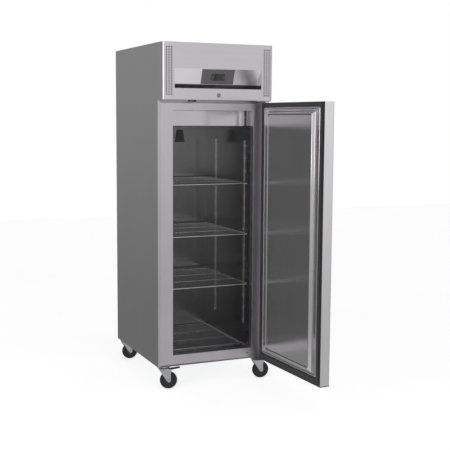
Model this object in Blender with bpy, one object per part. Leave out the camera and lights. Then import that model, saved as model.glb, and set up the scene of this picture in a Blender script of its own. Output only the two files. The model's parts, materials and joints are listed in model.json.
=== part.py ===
"""Upright reach-in refrigerator on castors: one solid hinged door, wire shelves and a top-mounted condensing unit.

Metres, +Z up, +Y to the back, +X to the right of a person facing the door.
The origin is the centre of the cabinet's underside. The door stands open at rest.
"""

from math import atan2, cos, hypot, pi, radians, sin

import bmesh
import bpy
from mathutils import Matrix, Vector

# ---------------------------------------------------------------- driving dimensions
BODY_WIDTH = 0.690
BODY_DEPTH = 0.810
BODY_HEIGHT = 1.885
CASTOR_HEIGHT = 0.136
FASCIA_BOTTOM = 1.564
FASCIA_PROUD = 0.071
DOOR_BOTTOM = 0.003
DOOR_TOP = 1.552
DOOR_THICKNESS = 0.061
DOOR_OPEN = radians(92.9)
OPENING_HALF = 0.2555
OPENING_BOTTOM = 0.0675
OPENING_TOP = 1.5055
SHELF_TABS = (11, 7, 3)

SHEET = 0.001
GAP = 0.0003
RUNNING = 0.0001
HALF = BODY_WIDTH / 2
FRONT = -BODY_DEPTH / 2
BACK = BODY_DEPTH / 2
SKIN = HALF - SHEET - GAP
FASCIA_FRONT = FRONT - FASCIA_PROUD
DOOR_FRONT = FASCIA_FRONT
DOOR_BACK = DOOR_FRONT + DOOR_THICKNESS

BEVEL_SIDE = 0.018
BEVEL_TOP = 0.019
BEVEL_BOTTOM = 0.012
BEVEL_DEPTH = 0.008
FRAME_SHEET = 0.0012
REVEAL = 0.040
BODY_EDGE = FRONT + BEVEL_DEPTH + FRAME_SHEET + 2 * GAP

LINER_HALF = 0.262
LINER_BOTTOM = 0.060
LINER_TOP = 1.530
LINER_BACK = FRONT + 0.755
DECK = 1.5748
PAN_RISE = 0.0012
FOAM_BOTTOM = PAN_RISE + SHEET + GAP
BODY_REAR = BACK - 2 * SHEET - 2 * GAP

PIVOT = Vector((0.3297, FRONT - 0.045, 0.0))
PIN_RADIUS = 0.005
PIN_DEPTH = 0.022

# ---------------------------------------------------------------- materials
FINISHES = {
    "brushed_stainless": ((0.56, 0.55, 0.56), 0.34, 1.0),
    "polished_stainless": ((0.62, 0.62, 0.63), 0.16, 1.0),
    "galvanised_steel": ((0.46, 0.47, 0.48), 0.5, 1.0),
    "zinc_plated_steel": ((0.60, 0.60, 0.62), 0.38, 1.0),
    "chromed_wire": ((0.66, 0.67, 0.68), 0.25, 1.0),
    "black_plastic": ((0.025, 0.025, 0.028), 0.5, 0.0),
    "grey_plastic": ((0.13, 0.13, 0.135), 0.45, 0.0),
    "display_black": ((0.02, 0.02, 0.022), 0.12, 0.0),
    "gasket_rubber": ((0.055, 0.055, 0.06), 0.7, 0.0),
    "wheel_rubber": ((0.02, 0.02, 0.022), 0.65, 0.0),
    "insulation_foam": ((0.75, 0.66, 0.42), 0.9, 0.0),
    "painted_black_steel": ((0.03, 0.03, 0.032), 0.4, 0.0),
    "coil_aluminium": ((0.55, 0.56, 0.57), 0.45, 1.0),
    "copper_pipe": ((0.72, 0.38, 0.24), 0.35, 1.0),
}


def make_material(name):
    color, roughness, metallic = FINISHES[name]
    made = bpy.data.materials.new(name)
    made.use_nodes = True
    shader = made.node_tree.nodes["Principled BSDF"]
    shader.inputs["Base Color"].default_value = (*color, 1.0)
    shader.inputs["Roughness"].default_value = roughness
    shader.inputs["Metallic"].default_value = metallic
    return made


# ---------------------------------------------------------------- mesh helpers
def add_box(bm, low, high):
    """A box between two opposite corners."""
    size = [b - a for a, b in zip(low, high)]
    middle = [(a + b) / 2 for a, b in zip(low, high)]
    matrix = Matrix.Translation(middle) @ Matrix.Diagonal((*size, 1.0))
    bmesh.ops.create_cube(bm, size=1.0, matrix=matrix)


def add_loft(bm, loops, closed=False):
    """Joins loops of equal length in order, and caps both ends, or joins the last loop to the first."""
    rings = [[bm.verts.new(point) for point in loop] for loop in loops]
    pairs = list(zip(rings, rings[1:]))
    if closed:
        pairs.append((rings[-1], rings[0]))
    else:
        bm.faces.new(rings[0])
        bm.faces.new(rings[-1])
    for first, second in pairs:
        count = len(first)
        for i in range(count):
            j = (i + 1) % count
            bm.faces.new((first[i], first[j], second[j], second[i]))


def add_prism(bm, outline, axis, start, end):
    """An outline in the plane across axis, given in the order of the other two axes, pushed from start to end."""

    def point(a, b, c):
        return {"x": (c, a, b), "y": (a, c, b), "z": (a, b, c)}[axis]

    add_loft(bm, [[point(a, b, c) for a, b in outline] for c in (start, end)])


def add_turned(bm, profile, centre, axis, segments=24):
    """A profile of (radius, distance along axis) points turned about an axis. Radius 0 at both ends makes it solid."""
    turn = Vector((0, 0, 1)).rotation_difference(Vector(axis)).to_matrix()
    rings = []
    for radius, along in profile:
        if radius == 0:
            rings.append([bm.verts.new(turn @ Vector((0, 0, along)) + Vector(centre))])
            continue
        angles = [2 * pi * k / segments for k in range(segments)]
        points = [Vector((radius * cos(a), radius * sin(a), along)) for a in angles]
        rings.append([bm.verts.new(turn @ point + Vector(centre)) for point in points])
    pairs = list(zip(rings, rings[1:]))
    if profile[0][0] > 0:
        pairs.append((rings[-1], rings[0]))
    for first, second in pairs:
        for i in range(segments):
            j = (i + 1) % segments
            corners = [first[i % len(first)], first[j % len(first)], second[j % len(second)], second[i % len(second)]]
            bm.faces.new(list(dict.fromkeys(corners)))


def add_cylinder(bm, radius, start, end, segments=16):
    """A solid cylinder between two points."""
    along = Vector(end) - Vector(start)
    profile = [(0, 0), (radius, 0), (radius, along.length), (0, along.length)]
    add_turned(bm, profile, start, along.normalized(), segments)


def rect_loop(half, bottom, top, y, radius=0.0, steps=0):
    """Points round an upright rectangle at depth y, with its corners rounded in steps."""
    corners = [(half, bottom, -90), (half, top, 0), (-half, top, 90), (-half, bottom, 180)]
    points = []
    for x, z, start in corners:
        if steps == 0:
            points.append((x, y, z))
            continue
        inner_x = x - radius if x > 0 else x + radius
        inner_z = z + radius if z == bottom else z - radius
        for k in range(steps + 1):
            angle = radians(start + 90 * k / steps)
            points.append((inner_x + radius * cos(angle), y, inner_z + radius * sin(angle)))
    return points


def arc(centre, radius, start, end, steps):
    """Points of a circular arc, angles in degrees."""
    angles = [radians(start + (end - start) * k / steps) for k in range(steps + 1)]
    return [(centre[0] + radius * cos(a), centre[1] + radius * sin(a)) for a in angles]


def bent_sheet(line, thickness):
    """The closed outline of a sheet folded along a line of points, thickened to the line's left."""
    offset = []
    for i, here in enumerate(line):
        before = Vector(line[i - 1]) if i else None
        after = Vector(line[i + 1]) if i + 1 < len(line) else None
        sides = []
        if before is not None:
            sides.append((Vector(here) - before).normalized())
        if after is not None:
            sides.append((after - Vector(here)).normalized())
        normals = [Vector((-side.y, side.x)) for side in sides]
        middle = sum(normals, Vector((0, 0))).normalized()
        reach = thickness / middle.dot(normals[0])
        offset.append(tuple(Vector(here) + middle * reach))
    return list(line) + offset[::-1]


# ---------------------------------------------------------------- object helpers
def finish(name, bm, finish_name, origin=(0, 0, 0), parent=None):
    """Turns a bmesh in closed-door world coordinates into an object whose origin is given in the same coordinates."""
    bmesh.ops.recalc_face_normals(bm, faces=bm.faces)
    bmesh.ops.translate(bm, verts=bm.verts, vec=-Vector(origin))
    mesh = bpy.data.meshes.new(name)
    bm.to_mesh(mesh)
    bm.free()
    mesh.shade_smooth()
    mesh.set_sharp_from_angle(angle=radians(30))
    made = bpy.data.objects.new(name, mesh)
    bpy.context.scene.collection.objects.link(made)
    if finish_name:
        mesh.materials.append(bpy.data.materials.get(finish_name) or make_material(finish_name))
    made["drawn_origin"] = origin
    made.location = Vector(origin)
    if parent is not None:
        made.parent = parent
        made.location = Vector(origin) - parent.location
    return made


def make_empty(name, location, turn=0.0, parent=None):
    """A joint's frame, turned about the vertical."""
    empty = bpy.data.objects.new(name, None)
    bpy.context.scene.collection.objects.link(empty)
    empty.location = location
    empty.rotation_euler = (0, 0, turn)
    empty.parent = parent
    return empty


def combine(target, operation, bm):
    """Cuts a bmesh out of the target, or adds it to the target. It is drawn in the coordinates the target was."""
    kind = {"cut": "DIFFERENCE", "add": "UNION"}[operation]
    number = len(target.modifiers) + 1
    helper = finish(f"{target.name}.{operation}{number}", bm, None, target["drawn_origin"])
    helper.parent = target.parent
    helper.location = target.location
    helper.hide_render = True
    helper.display_type = "WIRE"
    modifier = target.modifiers.new(f"{operation}{number}", "BOOLEAN")
    modifier.operation = kind
    modifier.solver = "EXACT"
    modifier.object = helper


def boxes(*corners):
    """A bmesh of boxes, each given by its low and high corners."""
    bm = bmesh.new()
    for low, high in corners:
        add_box(bm, low, high)
    return bm


def cylinders(*sizes, segments=16):
    """A bmesh of cylinders, each given by its radius, start and end."""
    bm = bmesh.new()
    for radius, start, end in sizes:
        add_cylinder(bm, radius, start, end, segments)
    return bm


# ---------------------------------------------------------------- cabinet
def make_side_panel(name, side):
    rear = BACK - SHEET - GAP
    outline = [
        (side * HALF, BODY_EDGE),
        (side * (HALF - SHEET), BODY_EDGE),
        (side * (HALF - SHEET), rear - SHEET),
        (side * (HALF - 0.015), rear - SHEET),
        (side * (HALF - 0.015), rear),
        (side * HALF, rear),
    ]
    bm = bmesh.new()
    add_prism(bm, outline, "z", 0.0, BODY_HEIGHT)
    finish(name, bm, "brushed_stainless")


def make_back_panel():
    bm = boxes(((-HALF, BACK - SHEET, 0.0), (HALF, BACK, BODY_HEIGHT)))
    panel = finish("back_panel", bm, "galvanised_steel")
    louvres = []
    for row in range(6):
        low = 1.645 + 0.032 * row
        louvres.append(((-0.22, BACK - 0.01, low), (0.22, BACK + 0.01, low + 0.010)))
    cord_hole = ((-0.262, BACK - 0.01, 1.600), (-0.234, BACK + 0.01, 1.628))
    combine(panel, "cut", boxes(*louvres, cord_hole))


def make_base_pan():
    """The bottom sheet, with a wide pad pressed down in its middle to the level of the side panels' edges."""
    low = (-SKIN, BODY_EDGE, PAN_RISE)
    pan = finish("base_pan", boxes((low, (SKIN, BODY_REAR, PAN_RISE + SHEET))), "galvanised_steel")
    combine(pan, "add", boxes(((-0.230, -0.300, 0.0), (0.230, 0.300, PAN_RISE + SHEET / 2))))


def make_front_frame():
    top = FASCIA_BOTTOM - GAP
    back = FRAME_SHEET
    loops = [
        rect_loop(HALF, 0.0, top, FRONT + BEVEL_DEPTH),
        rect_loop(HALF - BEVEL_SIDE, BEVEL_BOTTOM, top - BEVEL_TOP, FRONT),
        rect_loop(OPENING_HALF, OPENING_BOTTOM, OPENING_TOP, FRONT),
        rect_loop(OPENING_HALF, OPENING_BOTTOM, OPENING_TOP, FRONT + REVEAL),
        rect_loop(OPENING_HALF + back, OPENING_BOTTOM - back, OPENING_TOP + back, FRONT + REVEAL),
        rect_loop(OPENING_HALF + back, OPENING_BOTTOM - back, OPENING_TOP + back, FRONT + back),
        rect_loop(HALF - BEVEL_SIDE, BEVEL_BOTTOM, top - BEVEL_TOP, FRONT + back),
        rect_loop(HALF, 0.0, top, FRONT + BEVEL_DEPTH + back),
    ]
    bm = bmesh.new()
    add_loft(bm, loops, closed=True)
    finish("front_frame", bm, "brushed_stainless")


def make_inner_liner():
    front = FRONT + REVEAL + GAP
    t = SHEET
    loops = [
        rect_loop(LINER_HALF, LINER_BOTTOM, LINER_TOP, LINER_BACK, 0.012, 3),
        rect_loop(LINER_HALF, LINER_BOTTOM, LINER_TOP, front + t, 0.012, 3),
        rect_loop(OPENING_HALF, OPENING_BOTTOM, OPENING_TOP, front + t, 0.003, 3),
        rect_loop(OPENING_HALF, OPENING_BOTTOM, OPENING_TOP, front, 0.003, 3),
        rect_loop(LINER_HALF + t, LINER_BOTTOM - t, LINER_TOP + t, front, 0.013, 3),
        rect_loop(LINER_HALF + t, LINER_BOTTOM - t, LINER_TOP + t, LINER_BACK + t, 0.013, 3),
    ]
    bm = bmesh.new()
    add_loft(bm, loops)
    finish("inner_liner", bm, "polished_stainless")


def make_insulation_foam():
    back = BODY_REAR - GAP
    top = DECK - GAP
    frame_gap = FRAME_SHEET + GAP
    liner_gap = SHEET + GAP
    step = FRONT + REVEAL - GAP
    front = BODY_EDGE + GAP
    loops = [
        rect_loop(SKIN - GAP, FOAM_BOTTOM, top, back),
        rect_loop(SKIN - GAP, FOAM_BOTTOM, top, front),
        rect_loop(OPENING_HALF + frame_gap, OPENING_BOTTOM - frame_gap, OPENING_TOP + frame_gap, front),
        rect_loop(OPENING_HALF + frame_gap, OPENING_BOTTOM - frame_gap, OPENING_TOP + frame_gap, step),
        rect_loop(LINER_HALF + liner_gap, LINER_BOTTOM - liner_gap, LINER_TOP + liner_gap, step),
        rect_loop(LINER_HALF + liner_gap, LINER_BOTTOM - liner_gap, LINER_TOP + liner_gap, LINER_BACK + liner_gap),
    ]
    bm = bmesh.new()
    add_loft(bm, loops)
    finish("insulation_foam", bm, "insulation_foam")


def make_machine_deck():
    low = (-SKIN, BODY_EDGE, DECK)
    high = (SKIN, BODY_REAR, DECK + SHEET)
    finish("machine_deck", boxes((low, high)), "galvanised_steel")


# ---------------------------------------------------------------- fascia and controls
SEAM = 0.272
FASCIA_SHEET = 0.0012
FASCIA_RADIUS = 0.018
FASCIA_TOP = BODY_HEIGHT
RECESS_TOP = 1.740
RECESS_BOTTOM = 1.652
RECESS_DEPTH = 0.032
STRIP_TOP = 1.628
FASCIA_REAR = FRONT + BEVEL_DEPTH + FRAME_SHEET
HOLE = 0.0080
HOLE_ROWS = 19
HOLE_PITCH = 0.0146
HOLE_COLUMNS = (0.2890, 0.3045, 0.3200)
HOLE_LOW = 1.593
LOCK_Z = 1.590
LOCK_RADIUS = 0.0085
CAM_Y = FASCIA_FRONT + 0.0230
CAM_REACH = 0.046
SLOPE = atan2(RECESS_DEPTH, RECESS_TOP - RECESS_BOTTOM)


def make_fascia_grille(name, side):
    """A corner piece of the fascia: a rounded sheet with a strip of square vents, closed above and below."""

    def outline(inset, inner, rear):
        radius = FASCIA_RADIUS - inset
        centre = (HALF - FASCIA_RADIUS, FASCIA_FRONT + FASCIA_RADIUS)
        curve = arc(centre, radius, -90, 0, 6)
        return [(inner, FASCIA_FRONT + inset), *curve, (HALF - inset, rear), (inner, rear)]

    def mirrored(points):
        return [(side * x, y) for x, y in points]

    bm = bmesh.new()
    add_prism(bm, mirrored(outline(0.0, SEAM + GAP, FASCIA_REAR)), "z", FASCIA_BOTTOM, FASCIA_TOP)
    panel = finish(name, bm, "brushed_stainless")
    t = FASCIA_SHEET
    hollow = bmesh.new()
    inner = mirrored(outline(t, SEAM - 0.02, FASCIA_REAR + 0.02))
    add_prism(hollow, inner, "z", FASCIA_BOTTOM + t, FASCIA_TOP - t)
    combine(panel, "cut", hollow)
    vents = []
    for column in HOLE_COLUMNS:
        for row in range(HOLE_ROWS):
            x = side * column
            z = HOLE_LOW + HOLE_PITCH * row
            low = (x - HOLE / 2, FASCIA_FRONT - 0.004, z - HOLE / 2)
            vents.append((low, (x + HOLE / 2, FASCIA_FRONT + 0.004, z + HOLE / 2)))
    combine(panel, "cut", boxes(*vents))


def make_fascia_center():
    """The folded middle of the fascia: a flat top, a panel that slopes in, an air slot and a flat strip."""
    front = FASCIA_FRONT
    recess = front + RECESS_DEPTH
    upper = [
        (FASCIA_REAR, FASCIA_TOP),
        (front, FASCIA_TOP),
        (front, RECESS_TOP),
        (recess, RECESS_BOTTOM),
        (recess + 0.012, RECESS_BOTTOM),
    ]
    lower = [
        (front + 0.016, STRIP_TOP),
        (front, STRIP_TOP),
        (front, FASCIA_BOTTOM),
        (FASCIA_REAR, FASCIA_BOTTOM),
    ]
    reach = SEAM - FASCIA_SHEET / 2
    bm = bmesh.new()
    add_prism(bm, bent_sheet(upper, FASCIA_SHEET), "x", -reach, reach)
    panel = finish("fascia_center_panel", bm, "brushed_stainless")
    strip = bmesh.new()
    add_prism(strip, bent_sheet(lower, FASCIA_SHEET), "x", -reach, reach)
    combine(panel, "add", strip)
    for side in (-1, 1):
        edges = sorted((side * SEAM, side * (SEAM - FASCIA_SHEET)))
        low = (edges[0], front + GAP, FASCIA_BOTTOM + GAP)
        high = (edges[1], FASCIA_REAR - GAP, FASCIA_TOP - GAP)
        combine(panel, "add", boxes((low, high)))
    hole = cylinders((LOCK_RADIUS + RUNNING, (0, front - 0.01, LOCK_Z), (0, front + 0.01, LOCK_Z)), segments=24)
    combine(panel, "cut", hole)
    cam_slot = ((-0.010, CAM_Y - 0.003, FASCIA_BOTTOM - 0.01), (0.050, CAM_Y + 0.003, FASCIA_BOTTOM + 0.01))
    combine(panel, "cut", boxes(cam_slot))
    combine(panel, "cut", slope_boxes(((-0.0385, 0.0295, -0.02), (0.0385, 0.0665, 0.02))))


def slope_matrix():
    """From (across, down the slope, outwards) on the sloping panel to world axes."""
    across = Vector((1, 0, 0))
    down = Vector((0, sin(SLOPE), -cos(SLOPE)))
    out = Vector((0, -cos(SLOPE), -sin(SLOPE)))
    rotation = Matrix((across, down, out)).transposed().to_4x4()
    return Matrix.Translation((0, FASCIA_FRONT, RECESS_TOP)) @ rotation


def slope_boxes(*corners):
    """Boxes given on the sloping panel as (across, down the slope, outwards)."""
    bm = boxes(*corners)
    bmesh.ops.transform(bm, matrix=slope_matrix(), verts=bm.verts)
    return bm


def make_controls():
    bezel = finish("control_bezel", slope_boxes(((-0.101, 0.003, 0.0003), (0.101, 0.090, 0.0023))), "grey_plastic")
    combine(bezel, "cut", slope_boxes(((-0.0385, 0.0295, -0.01), (0.0385, 0.0665, 0.01))))
    body = ((-0.0380, 0.0300, -0.030), (0.0380, 0.0660, 0.0026))
    face = ((-0.0410, 0.0285, 0.0026), (0.0410, 0.0675, 0.0050))
    controller = finish("temperature_controller", slope_boxes(body), "display_black")
    combine(controller, "add", slope_boxes((face[0][:2] + (0.0025,), face[1])))
    key_holes = []
    for name, across in (("controller_set_key", -0.0335), ("controller_up_key", 0.0335)):
        low = (across - 0.0035, 0.0440, 0.0032)
        high = (across + 0.0035, 0.0520, 0.0056)
        finish(name, slope_boxes((low, high)), "grey_plastic")
        key_holes.append(((low[0] - GAP, low[1] - GAP, 0.0022), (high[0] + GAP, high[1] + GAP, 0.0090)))
    combine(controller, "cut", slope_boxes(*key_holes))


def make_lock():
    head = FASCIA_FRONT - 0.0025
    barrel = cylinders((LOCK_RADIUS, (0, head, LOCK_Z), (0, CAM_Y - 0.001 - GAP, LOCK_Z)), segments=24)
    lock = finish("lock_barrel", barrel, "zinc_plated_steel", (0, head, LOCK_Z))
    combine(lock, "cut", boxes(((-0.001, head - 0.01, LOCK_Z - 0.004), (0.001, head + 0.004, LOCK_Z + 0.004))))
    cam_low = (-0.0075, CAM_Y - 0.001, LOCK_Z - 0.0075)
    cam_high = (CAM_REACH, CAM_Y + 0.001, LOCK_Z + 0.0075)
    finish("lock_cam", boxes((cam_low, cam_high)), "zinc_plated_steel", (0, CAM_Y, LOCK_Z))


def make_door_switch():
    top = FASCIA_BOTTOM - GAP
    y = FASCIA_FRONT + 0.025
    plate = ((-0.170, y, top - 0.003), (-0.130, y + 0.026, top))
    bodies = boxes(plate)
    switch = finish("door_switch_body", bodies, "black_plastic")
    for x in (-0.170, -0.135):
        lug = ((x, y + 0.001, DOOR_TOP + 0.0012), (x + 0.005, y + 0.025, top - 0.002))
        combine(switch, "add", boxes(lug))
    z = DOOR_TOP + 0.0036
    plunger = cylinders((0.0028, (-0.150, y - 0.004, z), (-0.150, y + 0.022, z)), segments=12)
    finish("door_switch_plunger", plunger, "black_plastic", (-0.150, y, z))


# ---------------------------------------------------------------- condensing unit on the deck
DECK_TOP = DECK + SHEET + GAP
COMPRESSOR = Vector((0.150, FRONT + 0.520, DECK_TOP))
CONDENSER_LOW = Vector((-0.250, FRONT + 0.070, DECK_TOP))
CONDENSER_HIGH = Vector((0.060, FRONT + 0.130, DECK_TOP + 0.250))
FAN_CENTRE = Vector((-0.095, FRONT + 0.165, DECK_TOP + 0.125))
BOX_LOW = Vector((-0.310, FRONT + 0.560, DECK_TOP))
BOX_HIGH = Vector((-0.150, FRONT + 0.740, DECK_TOP + 0.100))


def make_compressor():
    profile = [(0, 0.012), (0.062, 0.012), (0.082, 0.030), (0.086, 0.095), (0.080, 0.105)]
    profile += [(0.080, 0.150), (0.060, 0.182), (0.025, 0.192), (0, 0.192)]
    bm = bmesh.new()
    add_turned(bm, profile, COMPRESSOR, (0, 0, 1), 24)
    pot = finish("compressor", bm, "painted_black_steel")
    x, y, z = COMPRESSOR
    feet = boxes(((x - 0.105, y - 0.075, z), (x + 0.105, y - 0.045, z + 0.016)))
    combine(pot, "add", feet)
    combine(pot, "add", boxes(((x - 0.105, y + 0.045, z), (x + 0.105, y + 0.075, z + 0.016))))
    combine(pot, "add", boxes(((x - 0.100, y - 0.035, z + 0.040), (x - 0.070, y + 0.035, z + 0.100))))


def finned_outline(start, end, low, high, fins):
    """A comb: fins standing on a spine, in the plane across the fins' height."""
    pitch = (end - start) / (fins - 0.5)
    points = [(start, high)]
    for k in range(fins):
        left = start + pitch * k
        right = left + pitch / 2
        points += [(left, low), (right, low)]
        if k + 1 < fins:
            points += [(right, high - 0.012), (left + pitch, high - 0.012)]
    points.append((end, high))
    return points


def make_condenser():
    low, high = CONDENSER_LOW, CONDENSER_HIGH
    bm = bmesh.new()
    add_prism(bm, finned_outline(low.x, high.x, low.y, high.y, 14), "z", low.z, high.z)
    finish("condenser_coil", bm, "coil_aluminium")


def make_condenser_fan():
    x, y, z = FAN_CENTRE
    front = CONDENSER_HIGH.y + 0.0015
    plate = boxes(((x - 0.150, front, DECK_TOP), (x + 0.150, front + 0.002, z + 0.125)))
    shroud = finish("condenser_fan_shroud", plate, "painted_black_steel")
    ring = bmesh.new()
    add_turned(ring, [(0.095, -0.0005), (0.098, -0.0005), (0.098, 0.045), (0.095, 0.045)], (x, front, z), (0, 1, 0), 24)
    combine(shroud, "add", ring)
    combine(shroud, "cut", cylinders((0.095, (x, front - 0.01, z), (x, front + 0.01, z)), segments=24))
    rear = front + 0.040
    combine(shroud, "add", boxes(((x - 0.0965, rear, z - 0.006), (x + 0.0965, rear + 0.003, z + 0.006))))
    motor = cylinders((0.034, (x, rear + 0.0015, z), (x, rear + 0.055, z)), segments=20)
    combine(shroud, "add", motor)
    make_fan_blades("condenser_fan_blade", (x, front + 0.020, z), (0, 1, 0), 0.090, 0.024, 5)


def make_fan_blades(name, centre, axis, reach, hub, count):
    """A hub with pitched blades round it, on an axis."""
    turn = Vector((0, 0, 1)).rotation_difference(Vector(axis)).to_matrix().to_4x4()
    place = Matrix.Translation(centre) @ turn
    bm = cylinders((hub, (0, 0, -0.012), (0, 0, 0.012)), segments=20)
    bmesh.ops.transform(bm, matrix=place, verts=bm.verts)
    fan = finish(name, bm, "black_plastic", centre)
    for k in range(count):
        blade = boxes(((hub - 0.004, -reach * 0.26, -0.0009), (reach, reach * 0.26, 0.0009)))
        pitch = Matrix.Rotation(radians(22), 4, "X")
        spin = Matrix.Rotation(2 * pi * k / count, 4, "Z")
        bmesh.ops.transform(blade, matrix=place @ spin @ pitch, verts=blade.verts)
        combine(fan, "add", blade)


def make_pipes():
    """The copper line from the compressor to the condenser, with the filter drier brazed into it."""
    start = COMPRESSOR + Vector((-0.040, -0.088, 0.120))
    end = Vector((CONDENSER_HIGH.x + 0.003, CONDENSER_HIGH.y + 0.020, DECK_TOP + 0.060))
    route = [
        start,
        start + Vector((0, -0.040, 0)),
        start + Vector((-0.010, -0.075, 0.012)),
        start + Vector((-0.035, -0.100, 0.012)),
        start + Vector((-0.050, -0.130, -0.010)),
        end + Vector((0.012, 0.160, 0.030)),
        end + Vector((0.012, 0.070, 0.010)),
        end + Vector((0.010, 0.020, 0)),
        end + Vector((0.004, 0, 0)),
    ]
    curve = bpy.data.curves.new("refrigerant_pipe", "CURVE")
    curve.dimensions = "3D"
    spline = curve.splines.new("POLY")
    spline.points.add(len(route) - 1)
    for point, place in zip(spline.points, route):
        point.co = (*place, 1.0)
    curve.bevel_depth = 0.004
    curve.bevel_resolution = 1
    curve.use_fill_caps = True
    pipe = bpy.data.objects.new("refrigerant_pipe", curve)
    bpy.context.scene.collection.objects.link(pipe)
    curve.materials.append(make_material("copper_pipe"))
    drier_start = route[5].lerp(route[6], 0.15)
    drier_end = route[5].lerp(route[6], 0.85)
    drier = cylinders((0.011, drier_start, drier_end), segments=12)
    mesh = bpy.data.meshes.new_from_object(pipe.evaluated_get(bpy.context.evaluated_depsgraph_get()))
    bpy.data.objects.remove(pipe)
    body = bmesh.new()
    body.from_mesh(mesh)
    bmesh.ops.remove_doubles(body, verts=body.verts, dist=0.00001)
    line = finish("refrigerant_pipe", body, "copper_pipe")
    combine(line, "add", drier)


def make_electrical_box():
    finish("electrical_box", boxes((BOX_LOW, BOX_HIGH)), "galvanised_steel")
    x = -0.248
    z = 1.614
    y = BOX_HIGH.y + GAP
    gland = bmesh.new()
    profile = [(0.0045, 0), (0.0125, 0), (0.0125, 0.012), (0.0095, 0.016), (0.0085, 0.032), (0.0045, 0.032)]
    add_turned(gland, profile, (x, y, z), (0, 1, 0), 16)
    finish("power_inlet_gland", gland, "black_plastic")


# ---------------------------------------------------------------- evaporator in the top of the compartment
COVER_FRONT = FRONT + 0.085
COVER_BOTTOM = 1.4157
COVER_REAR = FRONT + 0.600
COVER_HALF = LINER_HALF - 0.0008
EVAP_FAN = Vector((0.0, FRONT + 0.190, 1.4330))
EVAP_FAN_HOLE = 0.080


def make_evaporator_cover():
    top = LINER_TOP - 0.0125
    line = [(COVER_FRONT, top), (COVER_FRONT, COVER_BOTTOM), (COVER_REAR, COVER_BOTTOM), (COVER_REAR, COVER_BOTTOM + 0.03)]
    bm = bmesh.new()
    add_prism(bm, bent_sheet(line, 0.001), "x", -COVER_HALF, COVER_HALF)
    cover = finish("evaporator_cover", bm, "polished_stainless")
    x, y, _ = EVAP_FAN
    hole = cylinders((EVAP_FAN_HOLE, (x, y, COVER_BOTTOM - 0.01), (x, y, COVER_BOTTOM + 0.01)), segments=24)
    combine(cover, "cut", hole)


def make_evaporator():
    low = (FRONT + 0.330, 1.4320)
    high = (FRONT + 0.560, 1.5180)
    bm = bmesh.new()
    add_prism(bm, finned_outline(-0.205, 0.205, low[0], high[0], 12), "z", low[1], high[1])
    finish("evaporator_coil", bm, "coil_aluminium")
    x, y, z = EVAP_FAN
    motor = cylinders((0.030, (x, y, z + 0.0145), (x, y, z + 0.062)), segments=20)
    body = finish("evaporator_fan_motor", motor, "painted_black_steel")
    bar = boxes(((x - 0.105, y - 0.008, z + 0.040), (x + 0.105, y + 0.008, z + 0.044)))
    combine(body, "add", bar)
    legs = COVER_BOTTOM + 0.001 + GAP
    for side in (-1, 1):
        edges = sorted((x + side * 0.101, x + side * 0.105))
        combine(body, "add", boxes(((edges[0], y - 0.008, legs), (edges[1], y + 0.008, z + 0.0435))))
    make_fan_blades("evaporator_fan_blade", tuple(EVAP_FAN), (0, 0, 1), 0.074, 0.020, 5)


def make_probe_guard():
    """The tapered guard over the temperature probe on the rear wall."""
    x = 0.075
    outline = [(x - 0.032, 1.302), (x + 0.032, 1.302), (x + 0.017, 1.384), (x - 0.017, 1.384)]
    bm = bmesh.new()
    y = LINER_BACK - GAP
    add_prism(bm, outline, "y", y - 0.010, y)
    guard = finish("temperature_probe_guard", bm, "grey_plastic")
    combine(guard, "cut", cylinders((0.0045, (x, y - 0.02, 1.352), (x, y - 0.006, 1.352)), segments=12))


# ---------------------------------------------------------------- racks and shelves
TAB_LOW = 0.2205
TAB_PITCH = 0.077
TAB_COUNT = 15
POST_WIDTH = 0.020
POST_DEPTH = 0.0025
TAB_REACH = 0.0125
POST_YS = {"front": FRONT + 0.140, "rear": FRONT + 0.580}
SHELF_HALF = 0.2535
SHELF_LENGTH = 0.650
SHELF_FRONT = FRONT + 0.046
BOTTOM_RACK_FRONT = FRONT + 0.137
BOTTOM_RACK_LENGTH = 0.610
BOTTOM_RACK_HALF = 0.249
WIRE = 0.006
CROSS_WIRES = 5


def make_rack_posts():
    """Upright strips on the side walls with a row of wedge-shaped tabs, made as one comb each."""
    for place, y in POST_YS.items():
        for word, side in (("left", -1), ("right", 1)):
            wall = side * (LINER_HALF - GAP)
            face = wall - side * POST_DEPTH
            tip = wall - side * TAB_REACH
            outline = [(wall, TAB_LOW - 0.03), (face, TAB_LOW - 0.03)]
            for k in range(TAB_COUNT):
                z = TAB_LOW + TAB_PITCH * k
                outline += [(face, z - 0.009), (tip, z), (face, z)]
            top = TAB_LOW + TAB_PITCH * (TAB_COUNT - 1) + 0.03
            outline += [(face, top), (wall, top)]
            bm = bmesh.new()
            add_prism(bm, outline, "y", y - POST_WIDTH / 2, y + POST_WIDTH / 2)
            finish(f"rack_post_{place}_{word}", bm, "polished_stainless")


def make_shelf(name, half, front, length, z):
    """A flat grid: a frame, two bars from front to back, and cross wires between them."""
    rear = front + length
    low = (-half, front, z)
    shelf = finish(name, boxes((low, (half, rear, z + WIRE))), "chromed_wire", (0, front, z))
    bars = (-half, -half / 2, half / 2, half)
    pitch = (length - WIRE) / (CROSS_WIRES + 1)
    windows = []
    for left, right in zip(bars, bars[1:]):
        x_low = left + (WIRE if left == -half else WIRE / 2)
        x_high = right - (WIRE if right == half else WIRE / 2)
        for k in range(CROSS_WIRES + 1):
            y_low = front + WIRE + pitch * k
            y_high = front + pitch * (k + 1)
            windows.append(((x_low, y_low, z - 0.01), (x_high, y_high, z + 0.01)))
    combine(shelf, "cut", boxes(*windows))


def make_shelves():
    for number, tab in enumerate(SHELF_TABS, start=1):
        make_shelf(f"wire_shelf_{number}", SHELF_HALF, SHELF_FRONT, SHELF_LENGTH, TAB_LOW + TAB_PITCH * tab + GAP)
    make_shelf("bottom_rack", BOTTOM_RACK_HALF, BOTTOM_RACK_FRONT, BOTTOM_RACK_LENGTH, LINER_BOTTOM + GAP)


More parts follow.
